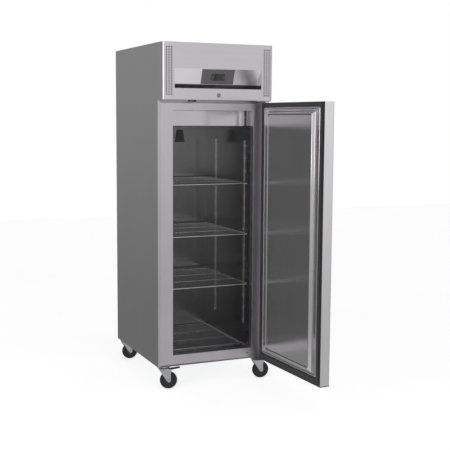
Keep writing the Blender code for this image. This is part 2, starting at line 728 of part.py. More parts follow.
# ---------------------------------------------------------------- door, drawn closed and turned open about its pivot
CAP = 0.005
RIM_SIDE = 0.034
RIM_TOP = 0.0225
RIM_BOTTOM = 0.043
RIM_DEPTH = 0.006
EDGE_RADIUS = 0.006
LINER_STATIONS = (
    (0.0345, 0.0230, 0.0435, 0.0),
    (0.0370, 0.0240, 0.0450, 0.0),
    (0.0430, 0.0305, 0.0515, 0.006),
    (0.0470, 0.0345, 0.0555, 0.006),
    (0.0530, 0.0400, 0.0610, 0.002),
    (0.0885, 0.0440, 0.0640, 0.002),
    (0.1010, 0.0580, 0.0790, 0.018),
    (0.1070, 0.0645, 0.0850, 0.018),
    (0.1120, 0.0720, 0.0920, 0.014),
)
PLUG_RADIUS = 0.006


def door_rect(side, top, bottom, y, radius=0.0, steps=0):
    """A rectangle inside the door's outline, inset from its sides, its top and its bottom."""
    return rect_loop(HALF - side, DOOR_BOTTOM + bottom, DOOR_TOP - top, y, radius, steps)


def pin_holes():
    """The holes in the door's top and bottom that its hinge pins turn in."""
    radius = PIN_RADIUS + RUNNING
    x, y = PIVOT.x, PIVOT.y
    top = (radius, (x, y, DOOR_TOP - PIN_DEPTH - 0.001), (x, y, DOOR_TOP + 0.01))
    bottom = (radius, (x, y, DOOR_BOTTOM - 0.01), (x, y, DOOR_BOTTOM + PIN_DEPTH + 0.001))
    return cylinders(top, bottom, segments=24)


def lock_slot(margin=0.0):
    """The slot in the door's top that the lock's cam turns into."""
    low = (-0.010 - margin, CAM_Y - 0.003 - margin, DOOR_TOP - 0.012 - margin)
    return boxes((low, (0.036 + margin, CAM_Y + 0.003 + margin, DOOR_TOP + 0.01)))


def make_door_shell(hinge):
    t = SHEET
    bottom = CAP + GAP
    rounds = [radians(90 * k / 3) for k in range(4)]
    outer = [(EDGE_RADIUS * (1 - cos(a)), DOOR_FRONT + EDGE_RADIUS * (1 - sin(a))) for a in rounds]
    inner_radius = EDGE_RADIUS - t
    inner = [(t + inner_radius * (1 - cos(a)), DOOR_FRONT + t + inner_radius * (1 - sin(a))) for a in rounds]
    loops = [door_rect(inset, inset, inset, y) for inset, y in inner[::-1]]
    loops += [door_rect(t, t, t, DOOR_BACK), door_rect(0, 0, 0, DOOR_BACK)]
    loops += [door_rect(inset, inset, inset, y) for inset, y in outer]
    bm = bmesh.new()
    add_loft(bm, loops)
    shell = finish("door_outer_shell", bm, "brushed_stainless", PIVOT, hinge)
    open_bottom = ((-HALF - 0.01, DOOR_FRONT - 0.01, -0.02), (HALF + 0.01, DOOR_BACK + 0.01, DOOR_BOTTOM + bottom))
    combine(shell, "cut", boxes(open_bottom))
    combine(shell, "add", boxes(grip_pocket(t, 0.0005)))
    combine(shell, "cut", boxes(grip_pocket(0.0, -0.01)))
    combine(shell, "cut", pin_holes())
    combine(shell, "cut", lock_slot())


def grip_pocket(margin, front):
    """The finger pocket by the door's free edge, as low and high corners."""
    low = (-0.326 - margin, DOOR_FRONT + front, 0.700 - margin)
    return low, (-0.298 + margin, DOOR_FRONT + 0.022 + margin, 1.060 + margin)


def make_door_edge_frame(hinge):
    """The plastic frame round the door's inner face, with the cap that closes the door's bottom."""
    y = DOOR_BACK
    t = SHEET + GAP
    loops = [
        door_rect(t, t, CAP / 2, y - RIM_DEPTH),
        door_rect(t, t, CAP / 2, y),
        door_rect(RIM_SIDE, RIM_TOP, RIM_BOTTOM, y),
        door_rect(RIM_SIDE, RIM_TOP, RIM_BOTTOM, y - RIM_DEPTH),
    ]
    bm = bmesh.new()
    add_loft(bm, loops, closed=True)
    ring = finish("door_edge_frame", bm, "black_plastic", PIVOT, hinge)
    cap = ((-HALF, DOOR_FRONT, DOOR_BOTTOM), (HALF, DOOR_BACK, DOOR_BOTTOM + CAP))
    combine(ring, "add", boxes(cap))
    combine(ring, "cut", pin_holes())


def make_door_foam(hinge):
    t = SHEET + GAP
    border = DOOR_BACK - RIM_DEPTH - GAP
    bottom = CAP + GAP
    plug = DOOR_BACK - SHEET - GAP
    round_in = EDGE_RADIUS
    loops = [
        door_rect(round_in, round_in, bottom, DOOR_FRONT + t),
        door_rect(t, t, bottom, DOOR_FRONT + round_in),
        door_rect(t, t, bottom, border),
        door_rect(RIM_SIDE + t, RIM_TOP + t, RIM_BOTTOM + t, border),
        door_rect(RIM_SIDE + t, RIM_TOP + t, RIM_BOTTOM + t, plug),
        door_rect(0.0905, 0.0460, 0.0660, plug + 0.002),
        door_rect(0.1030, 0.0600, 0.0810, plug + 0.0138),
    ]
    bm = bmesh.new()
    add_loft(bm, loops)
    foam = finish("door_foam", bm, "insulation_foam", PIVOT, hinge)
    combine(foam, "cut", boxes(grip_pocket(t + GAP, -0.01)))
    combine(foam, "cut", pin_holes())
    combine(foam, "cut", lock_slot(GAP))


def make_door_liner(hinge):
    """The pressed inner panel: a bead, a groove and a raised rim round a flat field."""
    t = SHEET
    face = [door_rect(s, top, low, DOOR_BACK + rise, PLUG_RADIUS, 2) for s, top, low, rise in LINER_STATIONS]
    back = [door_rect(s, top, low, DOOR_BACK + rise - t, PLUG_RADIUS, 2) for s, top, low, rise in LINER_STATIONS]
    bm = bmesh.new()
    add_loft(bm, face[::-1] + back)
    finish("door_inner_liner", bm, "polished_stainless", PIVOT, hinge)


def make_door_gasket(hinge):
    low = DOOR_BACK + GAP
    high = DOOR_BACK + 0.0092
    loops = [
        door_rect(0.0150, 0.0030, 0.0230, low),
        door_rect(0.0165, 0.0045, 0.0245, high),
        door_rect(0.0340, 0.0200, 0.0410, high),
        door_rect(0.0355, 0.0215, 0.0425, low),
    ]
    bm = bmesh.new()
    add_loft(bm, loops, closed=True)
    finish("door_gasket", bm, "gasket_rubber", PIVOT, hinge)


def make_hinge_brackets():
    """Flat brackets above and below the door, each carrying the pin that the door turns on."""
    x, y = PIVOT.x, PIVOT.y
    levels = {
        "top_hinge_bracket": (FASCIA_BOTTOM - GAP - 0.0036, FASCIA_BOTTOM - GAP, DOOR_TOP - PIN_DEPTH),
        "bottom_hinge_bracket": (-0.0042, -0.0010, DOOR_BOTTOM + PIN_DEPTH),
    }
    for name, (low, high, pin_end) in levels.items():
        outline = [(0.255, FRONT - GAP), (0.255, y - 0.004), (0.268, y - 0.014)]
        outline += arc((x, y), 0.015, -100, 0, 6)
        outline += [(x + 0.015, FRONT - GAP)]
        bm = bmesh.new()
        add_prism(bm, outline, "z", low, high)
        bracket = finish(name, bm, "zinc_plated_steel")
        combine(bracket, "add", cylinders((PIN_RADIUS, (x, y, (low + high) / 2), (x, y, pin_end)), segments=24))
    collar = bpy.data.objects["bottom_hinge_bracket"]
    combine(collar, "add", cylinders((0.009, (x, y, -0.002), (x, y, DOOR_BOTTOM - GAP - 0.0005)), segments=16))
    foot = ((0.262, FRONT - 0.0035, -0.003), (0.320, FRONT - GAP, 0.016))
    combine(collar, "add", boxes(foot))


# ---------------------------------------------------------------- castors
SWIVEL_X = 0.303
SWIVEL_INSET = 0.034
TRAIL = 0.030
WHEEL_RADIUS = 0.0515
WHEEL_HALF = 0.016
AXLE_Z = WHEEL_RADIUS - CASTOR_HEIGHT
AXLE_RADIUS = 0.0055
KINGPIN_RADIUS = 0.0060
PEDAL_PIN_RADIUS = 0.0020
LEG_IN = 0.0190
LEG_OUT = 0.0215
PLATE_HALF_X = 0.036
PLATE_OUT_Y = 0.0235
PLATE_IN_Y = 0.0375
CROWN_TOP = -0.0105
CROWN_BOTTOM = -0.0180
PEDAL_PIVOT = Vector((0.036, 0.0, -0.0215))
CASTORS = {
    "front_left": (-SWIVEL_X, FRONT + SWIVEL_INSET, 12, True),
    "front_right": (SWIVEL_X, FRONT + SWIVEL_INSET, 6, True),
    "rear_left": (-SWIVEL_X, BACK - SWIVEL_INSET, 0, False),
    "rear_right": (SWIVEL_X, BACK - SWIVEL_INSET, 0, False),
}


def make_castor_plate(name, x, y):
    top = PAN_RISE - GAP
    inward = 1 if y < 0 else -1
    y_low, y_high = sorted((y - inward * PLATE_OUT_Y, y + inward * PLATE_IN_Y))
    corners = ((x - PLATE_HALF_X, y_low, top - 0.003), (x + PLATE_HALF_X, y_high, top))
    plate = finish(name, boxes(corners), "zinc_plated_steel")
    race = bmesh.new()
    race_profile = [(0, -0.0098), (0.020, -0.0098), (0.026, -0.006), (0.026, -0.002), (0, -0.002)]
    add_turned(race, race_profile, (x, y, 0), (0, 0, 1), 20)
    combine(plate, "add", race)
    bore = (KINGPIN_RADIUS + RUNNING, (x, y, -0.02), (x, y, 0.01))
    combine(plate, "cut", cylinders(bore, segments=24))


def make_castor_fork(name, swivel, braked):
    """The fork, drawn about its swivel axis and trailing along +X, with its axle."""
    crown = bmesh.new()
    profile = [(0, CROWN_BOTTOM), (0.029, CROWN_BOTTOM), (0.029, CROWN_TOP - 0.002), (0.026, CROWN_TOP), (0, CROWN_TOP)]
    add_turned(crown, profile, (0, 0, 0), (0, 0, 1), 20)
    fork = finish(name, crown, "zinc_plated_steel")
    fork.parent = swivel
    kingpin = (KINGPIN_RADIUS, (0, 0, CROWN_TOP - 0.002), (0, 0, -0.0006))
    combine(fork, "add", cylinders(kingpin, segments=24))
    leg = [(-0.026, -0.013), (-0.026, -0.020), (TRAIL - 0.011, AXLE_Z - 0.004)]
    leg += arc((TRAIL, AXLE_Z), 0.011, 200, 360, 6)
    leg += [(TRAIL + 0.011, -0.040), (0.046, -0.026), (0.046, -0.018), (0.030, -0.013)]
    for side in (-1, 1):
        ends = sorted((side * LEG_IN, side * LEG_OUT))
        bm = bmesh.new()
        add_prism(bm, leg, "y", *ends)
        combine(fork, "add", bm)
    bolt = (AXLE_RADIUS, (TRAIL, -LEG_OUT - 0.001, AXLE_Z), (TRAIL, LEG_OUT + 0.001, AXLE_Z))
    combine(fork, "add", cylinders(bolt, segments=16))
    if braked:
        x, _, z = PEDAL_PIVOT
        pin = (PEDAL_PIN_RADIUS, (x, -LEG_OUT, z), (x, LEG_OUT, z))
        combine(fork, "add", cylinders(pin, segments=12))
    for side in (-1, 1):
        nut = (0.0085, (TRAIL, side * (LEG_OUT - 0.0005), AXLE_Z), (TRAIL, side * (LEG_OUT + 0.006), AXLE_Z))
        combine(fork, "add", cylinders(nut, segments=6))


def make_castor_wheel(name, swivel):
    r, w = WHEEL_RADIUS, WHEEL_HALF
    bore = AXLE_RADIUS + RUNNING
    profile = [(bore, -w), (r - 0.018, -w), (r - 0.014, -w + 0.003), (r - 0.002, -w + 0.004), (r, -w + 0.010)]
    profile += [(r, w - 0.010), (r - 0.002, w - 0.004), (r - 0.014, w - 0.003), (r - 0.018, w), (bore, w)]
    bm = bmesh.new()
    add_turned(bm, profile, (0, 0, 0), (0, 1, 0), 24)
    wheel = finish(name, bm, "wheel_rubber")
    wheel.parent = swivel
    wheel.location = (TRAIL, 0, AXLE_Z)


def make_brake_pedal(name, swivel):
    outline = arc((0, 0), 0.0055, 90, 300, 6) + [(0.010, 0.001), (0.061, 0.009), (0.062, 0.0125)]
    bm = bmesh.new()
    add_prism(bm, outline, "y", -0.0150, 0.0150)
    pedal = finish(name, bm, "black_plastic")
    pedal.parent = swivel
    pedal.location = PEDAL_PIVOT
    hole = (PEDAL_PIN_RADIUS + RUNNING, (0, -0.02, 0), (0, 0.02, 0))
    combine(pedal, "cut", cylinders(hole, segments=12))


def make_castors():
    for place, (x, y, turn, braked) in CASTORS.items():
        make_castor_plate(f"castor_plate_{place}", x, y)
        swivel = make_empty(f"castor_swivel_axis_{place}", (x, y, 0), radians(-turn))
        make_castor_fork(f"castor_fork_{place}", swivel, braked)
        make_castor_wheel(f"castor_wheel_{place}", swivel)
        if braked:
            make_brake_pedal(f"brake_pedal_{place}", swivel)


# ---------------------------------------------------------------- assembly
def make_cabinet():
    make_side_panel("left_side_panel", -1)
    make_side_panel("right_side_panel", 1)
    make_back_panel()
    make_base_pan()
    make_front_frame()
    make_inner_liner()
    make_insulation_foam()
    make_machine_deck()


def make_fascia():
    make_fascia_grille("fascia_grille_left", -1)
    make_fascia_grille("fascia_grille_right", 1)
    make_fascia_center()
    make_controls()
    make_lock()
    make_door_switch()


def make_refrigeration():
    make_compressor()
    make_condenser()
    make_condenser_fan()
    make_pipes()
    make_electrical_box()
    make_evaporator_cover()
    make_evaporator()
    make_probe_guard()


def make_door():
    hinge = make_empty("door_hinge_axis", PIVOT, DOOR_OPEN)
    make_door_shell(hinge)
    make_door_edge_frame(hinge)
    make_door_foam(hinge)
    make_door_liner(hinge)
    make_door_gasket(hinge)
    make_hinge_brackets()


def main():
    for old in list(bpy.data.objects):
        bpy.data.objects.remove(old)
    make_cabinet()
    make_fascia()
    make_refrigeration()
    make_rack_posts()
    make_shelves()
    make_door()
    make_castors()
    bpy.context.view_layer.update()


main()
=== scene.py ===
import json
from math import cos, pi, radians, sin

import bmesh
import bpy
from mathutils import Matrix, Vector


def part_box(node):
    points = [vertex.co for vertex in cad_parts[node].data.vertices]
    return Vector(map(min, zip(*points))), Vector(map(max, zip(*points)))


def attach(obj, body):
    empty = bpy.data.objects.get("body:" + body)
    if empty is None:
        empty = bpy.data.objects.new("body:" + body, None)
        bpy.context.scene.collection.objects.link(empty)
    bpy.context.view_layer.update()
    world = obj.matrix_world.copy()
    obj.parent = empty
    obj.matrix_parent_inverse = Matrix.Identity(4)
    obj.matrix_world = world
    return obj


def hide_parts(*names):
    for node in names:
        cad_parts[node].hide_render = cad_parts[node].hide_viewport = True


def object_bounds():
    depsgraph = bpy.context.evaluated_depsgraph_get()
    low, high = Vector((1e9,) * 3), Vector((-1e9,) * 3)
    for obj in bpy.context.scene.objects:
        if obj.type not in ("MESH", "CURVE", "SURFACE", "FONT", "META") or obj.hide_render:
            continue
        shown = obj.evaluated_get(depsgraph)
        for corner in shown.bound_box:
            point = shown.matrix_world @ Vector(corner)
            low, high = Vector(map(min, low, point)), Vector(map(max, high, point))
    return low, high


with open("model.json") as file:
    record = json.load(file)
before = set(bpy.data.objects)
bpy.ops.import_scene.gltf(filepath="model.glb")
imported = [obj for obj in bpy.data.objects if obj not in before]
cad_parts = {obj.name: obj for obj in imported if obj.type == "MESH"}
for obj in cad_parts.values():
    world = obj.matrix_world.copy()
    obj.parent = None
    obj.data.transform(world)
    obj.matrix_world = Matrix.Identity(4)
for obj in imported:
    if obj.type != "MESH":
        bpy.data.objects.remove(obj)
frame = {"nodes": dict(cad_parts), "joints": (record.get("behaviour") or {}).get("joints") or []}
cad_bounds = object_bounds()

NODES = frame["nodes"]
JOINTS = {joint["name"]: joint for joint in frame["joints"]}
CORNERS = ("front_left", "front_right", "rear_left", "rear_right")


# ---------------- shader groups
def feed(tree, socket, value):
    """Joins an input to another socket, or sets it to a number, a vector or a colour."""
    if isinstance(value, bpy.types.NodeSocket):
        tree.links.new(value, socket)
    else:
        socket.default_value = (*value, 1.0) if socket.type == "RGBA" else value


def add_node(tree, kind, inputs=None, **settings):
    node = tree.nodes.new(kind)
    for name, value in settings.items():
        setattr(node, name, value)
    for key, value in (inputs or {}).items():
        feed(tree, node.inputs[key], value)
    return node


def math_node(tree, operation, first, second, clamp=False):
    """A Math node. Each input is a socket or a number."""
    return add_node(tree, "ShaderNodeMath", {0: first, 1: second}, operation=operation, use_clamp=clamp).outputs[0]


def spread(tree, value, from_low, from_high, to_low=0.0, to_high=1.0):
    """A value carried from one range to another, and held at its ends."""
    inputs = {"Value": value, "From Min": from_low, "From Max": from_high, "To Min": to_low, "To Max": to_high}
    return add_node(tree, "ShaderNodeMapRange", inputs).outputs["Result"]


def mix_colors(tree, factor, first, second, **settings):
    inputs = {"Factor": factor, "A": first, "B": second}
    return add_node(tree, "ShaderNodeMix", inputs, data_type="RGBA", **settings).outputs["Result"]


def noise(tree, vector, scale, detail=3.0, roughness=0.55):
    inputs = {"Vector": vector, "Scale": scale, "Detail": detail, "Roughness": roughness}
    return add_node(tree, "ShaderNodeTexNoise", inputs).outputs["Fac"]


def weighted(tree, first, share, second):
    """Two values added in shares that make one."""
    parts = [math_node(tree, "MULTIPLY", value, part) for value, part in ((first, share), (second, 1 - share))]
    return math_node(tree, "ADD", *parts)


def object_place(tree):
    return add_node(tree, "ShaderNodeTexCoord").outputs["Object"]


def stretched(tree, vector, by):
    return add_node(tree, "ShaderNodeVectorMath", {0: vector, 1: by}, operation="MULTIPLY").outputs[0]


def new_group(name, inputs, outputs):
    """A shader group with named number or vector inputs and named number outputs."""
    group = bpy.data.node_groups.new(name, "ShaderNodeTree")
    for label, default in inputs.items():
        kind = "NodeSocketVector" if isinstance(default, tuple) else "NodeSocketFloat"
        socket = group.interface.new_socket(label, in_out="INPUT", socket_type=kind)
        socket.default_value = default
    for label in outputs:
        group.interface.new_socket(label, in_out="OUTPUT", socket_type="NodeSocketFloat")
    into = group.nodes.new("NodeGroupInput")
    out = group.nodes.new("NodeGroupOutput")
    return group, into.outputs, out.inputs


def make_brushed_grain():
    """Fine scratches drawn out along the axis where Stretch is small, with a broader drag under them."""
    given_values = {"Stretch": (1.0, 1.0, 0.02), "Fineness": 420.0}
    group, given, result = new_group("brushed_grain", given_values, ("Tone", "Height"))
    drawn = stretched(group, object_place(group), given["Stretch"])
    fine = noise(group, drawn, given["Fineness"], 3.0, 0.7)
    broad = noise(group, drawn, math_node(group, "MULTIPLY", given["Fineness"], 0.12), 2.0)
    group.links.new(weighted(group, fine, 0.6, broad), result["Tone"])
    group.links.new(fine, result["Height"])
    return group


def make_handling_marks():
    """Faint clouds and wipe marks left by cleaning and hands."""
    group, given, result = new_group("handling_marks", {"Scale": 5.0, "Contrast": 1.0}, ("Mask",))
    place = object_place(group)
    clouds = noise(group, place, given["Scale"], 4.0, 0.6)
    wiped = stretched(group, place, (1.0, 1.0, 0.22))
    wipes = noise(group, wiped, math_node(group, "MULTIPLY", given["Scale"], 5.0), 2.0)
    both = weighted(group, clouds, 0.65, wipes)
    centred = math_node(group, "MULTIPLY", math_node(group, "SUBTRACT", both, 0.5), given["Contrast"])
    group.links.new(math_node(group, "ADD", centred, 0.5, clamp=True), result["Mask"])
    return group


def make_edge_rub():
    """Edges polished bare by wear, found from how far a rounded normal leans away from the face."""
    group, given, result = new_group("edge_rub", {"Width": 0.0015, "Strength": 1.0}, ("Mask",))
    rounded = add_node(group, "ShaderNodeBevel", {"Radius": given["Width"]}, samples=4)
    face = add_node(group, "ShaderNodeNewGeometry")
    normals = {0: rounded.outputs["Normal"], 1: face.outputs["Normal"]}
    lean = add_node(group, "ShaderNodeVectorMath", normals, operation="DOT_PRODUCT")
    edge = math_node(group, "SUBTRACT", 1.0, lean.outputs["Value"])
    place = object_place(group)
    broken = spread(group, noise(group, place, 90.0, 3.0), 0.35, 0.65, 0.2, 1.0)
    strong = math_node(group, "MULTIPLY", math_node(group, "MULTIPLY", edge, 4.0), given["Strength"])
    group.links.new(math_node(group, "MULTIPLY", strong, broken, clamp=True), result["Mask"])
    return group


def make_settled_dust():
    """Dust that lies where a surface faces up."""
    group, given, result = new_group("settled_dust", {"Amount": 0.3}, ("Mask",))
    face = add_node(group, "ShaderNodeNewGeometry")
    up = add_node(group, "ShaderNodeSeparateXYZ", {0: face.outputs["Normal"]})
    lying = spread(group, up.outputs["Z"], 0.35, 0.95)
    place = object_place(group)
    patchy = spread(group, noise(group, place, 38.0, 5.0), 0.35, 0.75, 0.3, 1.0)
    mask = math_node(group, "MULTIPLY", math_node(group, "MULTIPLY", lying, patchy), given["Amount"])
    group.links.new(mask, result["Mask"])
    return group


def make_zinc_spangle():
    """The flower-like crystals of hot-dipped zinc."""
    group, given, result = new_group("zinc_spangle", {"Scale": 70.0}, ("Tone", "Height"))
    inputs = {"Vector": object_place(group), "Scale": given["Scale"]}
    cells = add_node(group, "ShaderNodeTexVoronoi", inputs, feature="F1")
    shade = add_node(group, "ShaderNodeSeparateColor", {"Color": cells.outputs["Color"]})
    group.links.new(shade.outputs["Red"], result["Tone"])
    group.links.new(cells.outputs["Distance"], result["Height"])
    return group


def make_fine_grit():
    """The small pebbling of moulded plastic, rubber and powder paint."""
    group, given, result = new_group("fine_grit", {"Scale": 900.0}, ("Mask", "Height"))
    place = object_place(group)
    grain = noise(group, place, given["Scale"], 2.0)
    pits = add_node(group, "ShaderNodeTexVoronoi", {"Vector": place, "Scale": given["Scale"]}, feature="SMOOTH_F1")
    height = math_node(group, "ADD", math_node(group, "MULTIPLY", grain, 0.5), pits.outputs["Distance"])
    group.links.new(grain, result["Mask"])
    group.links.new(height, result["Height"])
    return group


GRAIN = make_brushed_grain()
MARKS = make_handling_marks()
RUB = make_edge_rub()
DUST = make_settled_dust()
SPANGLE = make_zinc_spangle()
GRIT = make_fine_grit()


# ---------------- materials
def place_group(tree, group, **values):
    return add_node(tree, "ShaderNodeGroup", values, node_tree=group).outputs


def start_material(name, metallic=0.0, **constants):
    material = bpy.data.materials.new(name)
    material.use_nodes = True
    shader = material.node_tree.nodes["Principled BSDF"]
    shader.inputs["Metallic"].default_value = metallic
    for label, value in constants.items():
        shader.inputs[label.replace("_", " ")].default_value = value
    return material, material.node_tree, shader


def raise_surface(tree, shader, height, strength, distance):
    bump = add_node(tree, "ShaderNodeBump", {"Strength": strength, "Distance": distance, "Height": height})
    tree.links.new(bump.outputs["Normal"], shader.inputs["Normal"])


def weather(tree, shader, color, edge_width, rub, worn, dust, dust_color):
    """Takes a colour through its worn edges and its settled dust into the shader."""
    edge = place_group(tree, RUB, Width=edge_width, Strength=rub)
    settled = place_group(tree, DUST, Amount=dust)
    color = mix_colors(tree, edge["Mask"], color, worn)
    color = mix_colors(tree, settled["Mask"], color, dust_color)
    tree.links.new(color, shader.inputs["Base Color"])


def brighter(color, gain):
    return tuple(min(1.0, part * gain) for part in color)


def sheet_metal(name, dark, light, smooth, rough, stretch=(1.0, 1.0, 0.02), fineness=420.0, grain=0.08,
                marks=5.0, contrast=1.2, rub=0.5, dust=0.15, relief=0.00012, metallic=1.0):
    """Rolled stainless or plated sheet: drawn grain, wipe marks, bright worn edges and a little dust."""
    material, tree, shader = start_material(name, metallic)
    drawn = place_group(tree, GRAIN, Stretch=stretch, Fineness=fineness)
    cloud = place_group(tree, MARKS, Scale=marks, Contrast=contrast)
    shade = spread(tree, weighted(tree, drawn["Tone"], 0.6, cloud["Mask"]), 0.3, 0.7)
    color = mix_colors(tree, shade, dark, light)
    weather(tree, shader, color, 0.0012, rub, brighter(light, 1.18), dust, (0.42, 0.41, 0.40))
    gloss = weighted(tree, cloud["Mask"], 0.7, drawn["Tone"])
    tree.links.new(spread(tree, gloss, 0.25, 0.75, smooth, rough), shader.inputs["Roughness"])
    raise_surface(tree, shader, drawn["Height"], grain, relief)
    return material


def coated_zinc(name, dark, light, smooth, rough, scale=70.0, rub=0.6, dust=0.35):
    """Hot-dipped galvanised sheet with its spangle."""
    material, tree, shader = start_material(name, metallic=1.0)
    crystal = place_group(tree, SPANGLE, Scale=scale)
    cloud = place_group(tree, MARKS, Scale=8.0, Contrast=1.4)
    shade = weighted(tree, crystal["Tone"], 0.65, cloud["Mask"])
    color = mix_colors(tree, shade, dark, light)
    weather(tree, shader, color, 0.001, rub, brighter(light, 1.2), dust, (0.38, 0.37, 0.35))
    tree.links.new(spread(tree, shade, 0.1, 0.9, smooth, rough), shader.inputs["Roughness"])
    raise_surface(tree, shader, crystal["Height"], 0.08, 0.0002)
    return material


def moulded(name, dark, light, smooth, rough, grit=900.0, bump=0.15, rub=0.35, dust=0.2, **constants):
    """Plastic, rubber or powder paint: pebbled, slightly cloudy, greyed where it is rubbed."""
    material, tree, shader = start_material(name, **constants)
    pebble = place_group(tree, GRIT, Scale=grit)
    cloud = place_group(tree, MARKS, Scale=22.0, Contrast=1.5)
    shade = weighted(tree, pebble["Mask"], 0.4, cloud["Mask"])
    color = mix_colors(tree, spread(tree, shade, 0.3, 0.7), dark, light)
    greyed = tuple(part * 1.8 + 0.02 for part in light)
    weather(tree, shader, color, 0.0009, rub, greyed, dust, (0.30, 0.29, 0.28))
    tree.links.new(spread(tree, shade, 0.3, 0.7, smooth, rough), shader.inputs["Roughness"])
    raise_surface(tree, shader, pebble["Height"], bump, 0.0002)
    return material


def steel(level, drop=0.015):
    """The faintly warm grey of stainless steel."""
    return level, level - drop, level


def smoke(level, blue=0.002):
    """The faintly blue black of plastic and paint."""
    return level, level, level + blue


ALONG_X = (0.02, 1.0, 1.0)
LONG_UPRIGHT = (1.0, 1.0, 0.004)
FIN_UPRIGHT = (1.0, 1.0, 0.05)
EVEN = (1.0, 1.0, 1.0)
side_stainless = sheet_metal("side_stainless", steel(0.60), steel(0.66), 0.28, 0.35, grain=0.05)
front_stainless = sheet_metal("front_stainless", steel(0.58), steel(0.64), 0.30, 0.38, grain=0.05)
# The door shell's stainless is smoother than the sides, and its much brighter colour is painted light on the open
# door's edge.
door_stainless_painted_light = sheet_metal("door_stainless_painted_light", steel(0.80), steel(0.86), 0.20, 0.26, grain=0.05)
fascia_stainless = sheet_metal("fascia_stainless", steel(0.58), steel(0.63), 0.20, 0.25, ALONG_X, grain=0.05)
# The inner liner's stainless is given a much darker colour than the outer sheet: painted shade inside the cabinet.
liner_stainless_painted_shade = sheet_metal("liner_stainless_painted_shade", steel(0.26, 0.005), steel(0.32, 0.005), 0.15, 0.22, grain=0.04)
# The door's pressed liner is polished, and its very bright colour is a painted reflection of the bright surroundings
# in front.
door_liner_painted_reflection = sheet_metal("door_liner_painted_reflection", steel(0.82), steel(0.90), 0.10, 0.14, LONG_UPRIGHT,
                                   grain=0.6, contrast=0.4, relief=0.0003, metallic=0.74)
cover_stainless = sheet_metal("cover_stainless", steel(0.50, 0.01), steel(0.58, 0.01), 0.10, 0.16, ALONG_X, grain=0.04)
rack_stainless = sheet_metal("rack_stainless", steel(0.62, 0.0), steel(0.72, 0.0), 0.20, 0.30, grain=0.05)
galvanised = coated_zinc("galvanised", (0.40, 0.41, 0.42), (0.56, 0.57, 0.58), 0.34, 0.52)
zinc_plate = sheet_metal("zinc_plate", (0.50, 0.51, 0.52), (0.64, 0.65, 0.66), 0.28, 0.42, EVEN, 160.0, 0.08, 30.0)
# Dark steel for the lock barrel, collar and key face: its darkness is painted shade for the lock's recess.
lock_steel_painted_shade = sheet_metal("lock_steel_painted_shade", steel(0.26, 0.0), steel(0.38, 0.0), 0.16, 0.26, EVEN, 300.0, 0.05, 60.0)
chrome_wire = sheet_metal("chrome_wire", (0.60, 0.61, 0.62), (0.74, 0.75, 0.76), 0.16, 0.28, EVEN, 220.0, 0.05, 25.0)
coil_aluminium = sheet_metal("coil_aluminium", (0.50, 0.51, 0.52), (0.66, 0.67, 0.68), 0.36, 0.50, FIN_UPRIGHT,
                             300.0, 0.15, marks=12.0, contrast=1.6, rub=0.4, dust=0.4)
copper = sheet_metal("copper", (0.56, 0.26, 0.16), (0.80, 0.44, 0.30), 0.24, 0.44, EVEN, 120.0, 0.06, 40.0, 2.2)
black_plastic = moulded("black_plastic", smoke(0.016), smoke(0.028, 0.003), 0.42, 0.56)
edge_plastic = moulded("edge_plastic", (0.055, 0.054, 0.058), (0.075, 0.074, 0.078), 0.32, 0.44, bump=0.08)
grey_plastic = moulded("grey_plastic", smoke(0.115, 0.005), smoke(0.150, 0.005), 0.42, 0.54, grit=1300.0, bump=0.10)
bezel_film = moulded("bezel_film", smoke(0.125, 0.005), smoke(0.150, 0.005), 0.30, 0.40, grit=1600.0, bump=0.05,
                     dust=0.05)
display_film = moulded("display_film", smoke(0.010), smoke(0.016, 0.003), 0.10, 0.18, bump=0.02, dust=0.05,
                       Coat_Weight=0.5)
window_film = moulded("window_film", smoke(0.006, 0.001), smoke(0.010), 0.06, 0.12, bump=0.01, dust=0.03,
                      Coat_Weight=0.8)
digit_film = moulded("digit_film", smoke(0.42, 0.01), smoke(0.52, 0.01), 0.30, 0.40, bump=0.02, dust=0.02)
# Black foam for the strips behind the vent holes: painted shade seen through the holes.
vent_shade_foam = moulded("vent_shade_foam", smoke(0.010, 0.001), smoke(0.022), 0.80, 0.95, grit=420.0, bump=0.8, dust=0.3)
gasket_rubber = moulded("gasket_rubber", (0.060, 0.059, 0.063), (0.080, 0.079, 0.083), 0.45, 0.60, grit=600.0)
tyre_rubber = moulded("tyre_rubber", smoke(0.014, 0.001), smoke(0.026), 0.52, 0.70, grit=500.0, bump=0.25, dust=0.45)
hub_plastic = moulded("hub_plastic", smoke(0.020), smoke(0.034, 0.003), 0.36, 0.48)
black_paint = moulded("black_paint", smoke(0.020), smoke(0.036, 0.003), 0.24, 0.38, grit=420.0, bump=0.2, dust=0.5)
foam_skin = moulded("foam_skin", (0.66, 0.55, 0.31), (0.80, 0.70, 0.46), 0.80, 0.95, grit=260.0, bump=0.6)

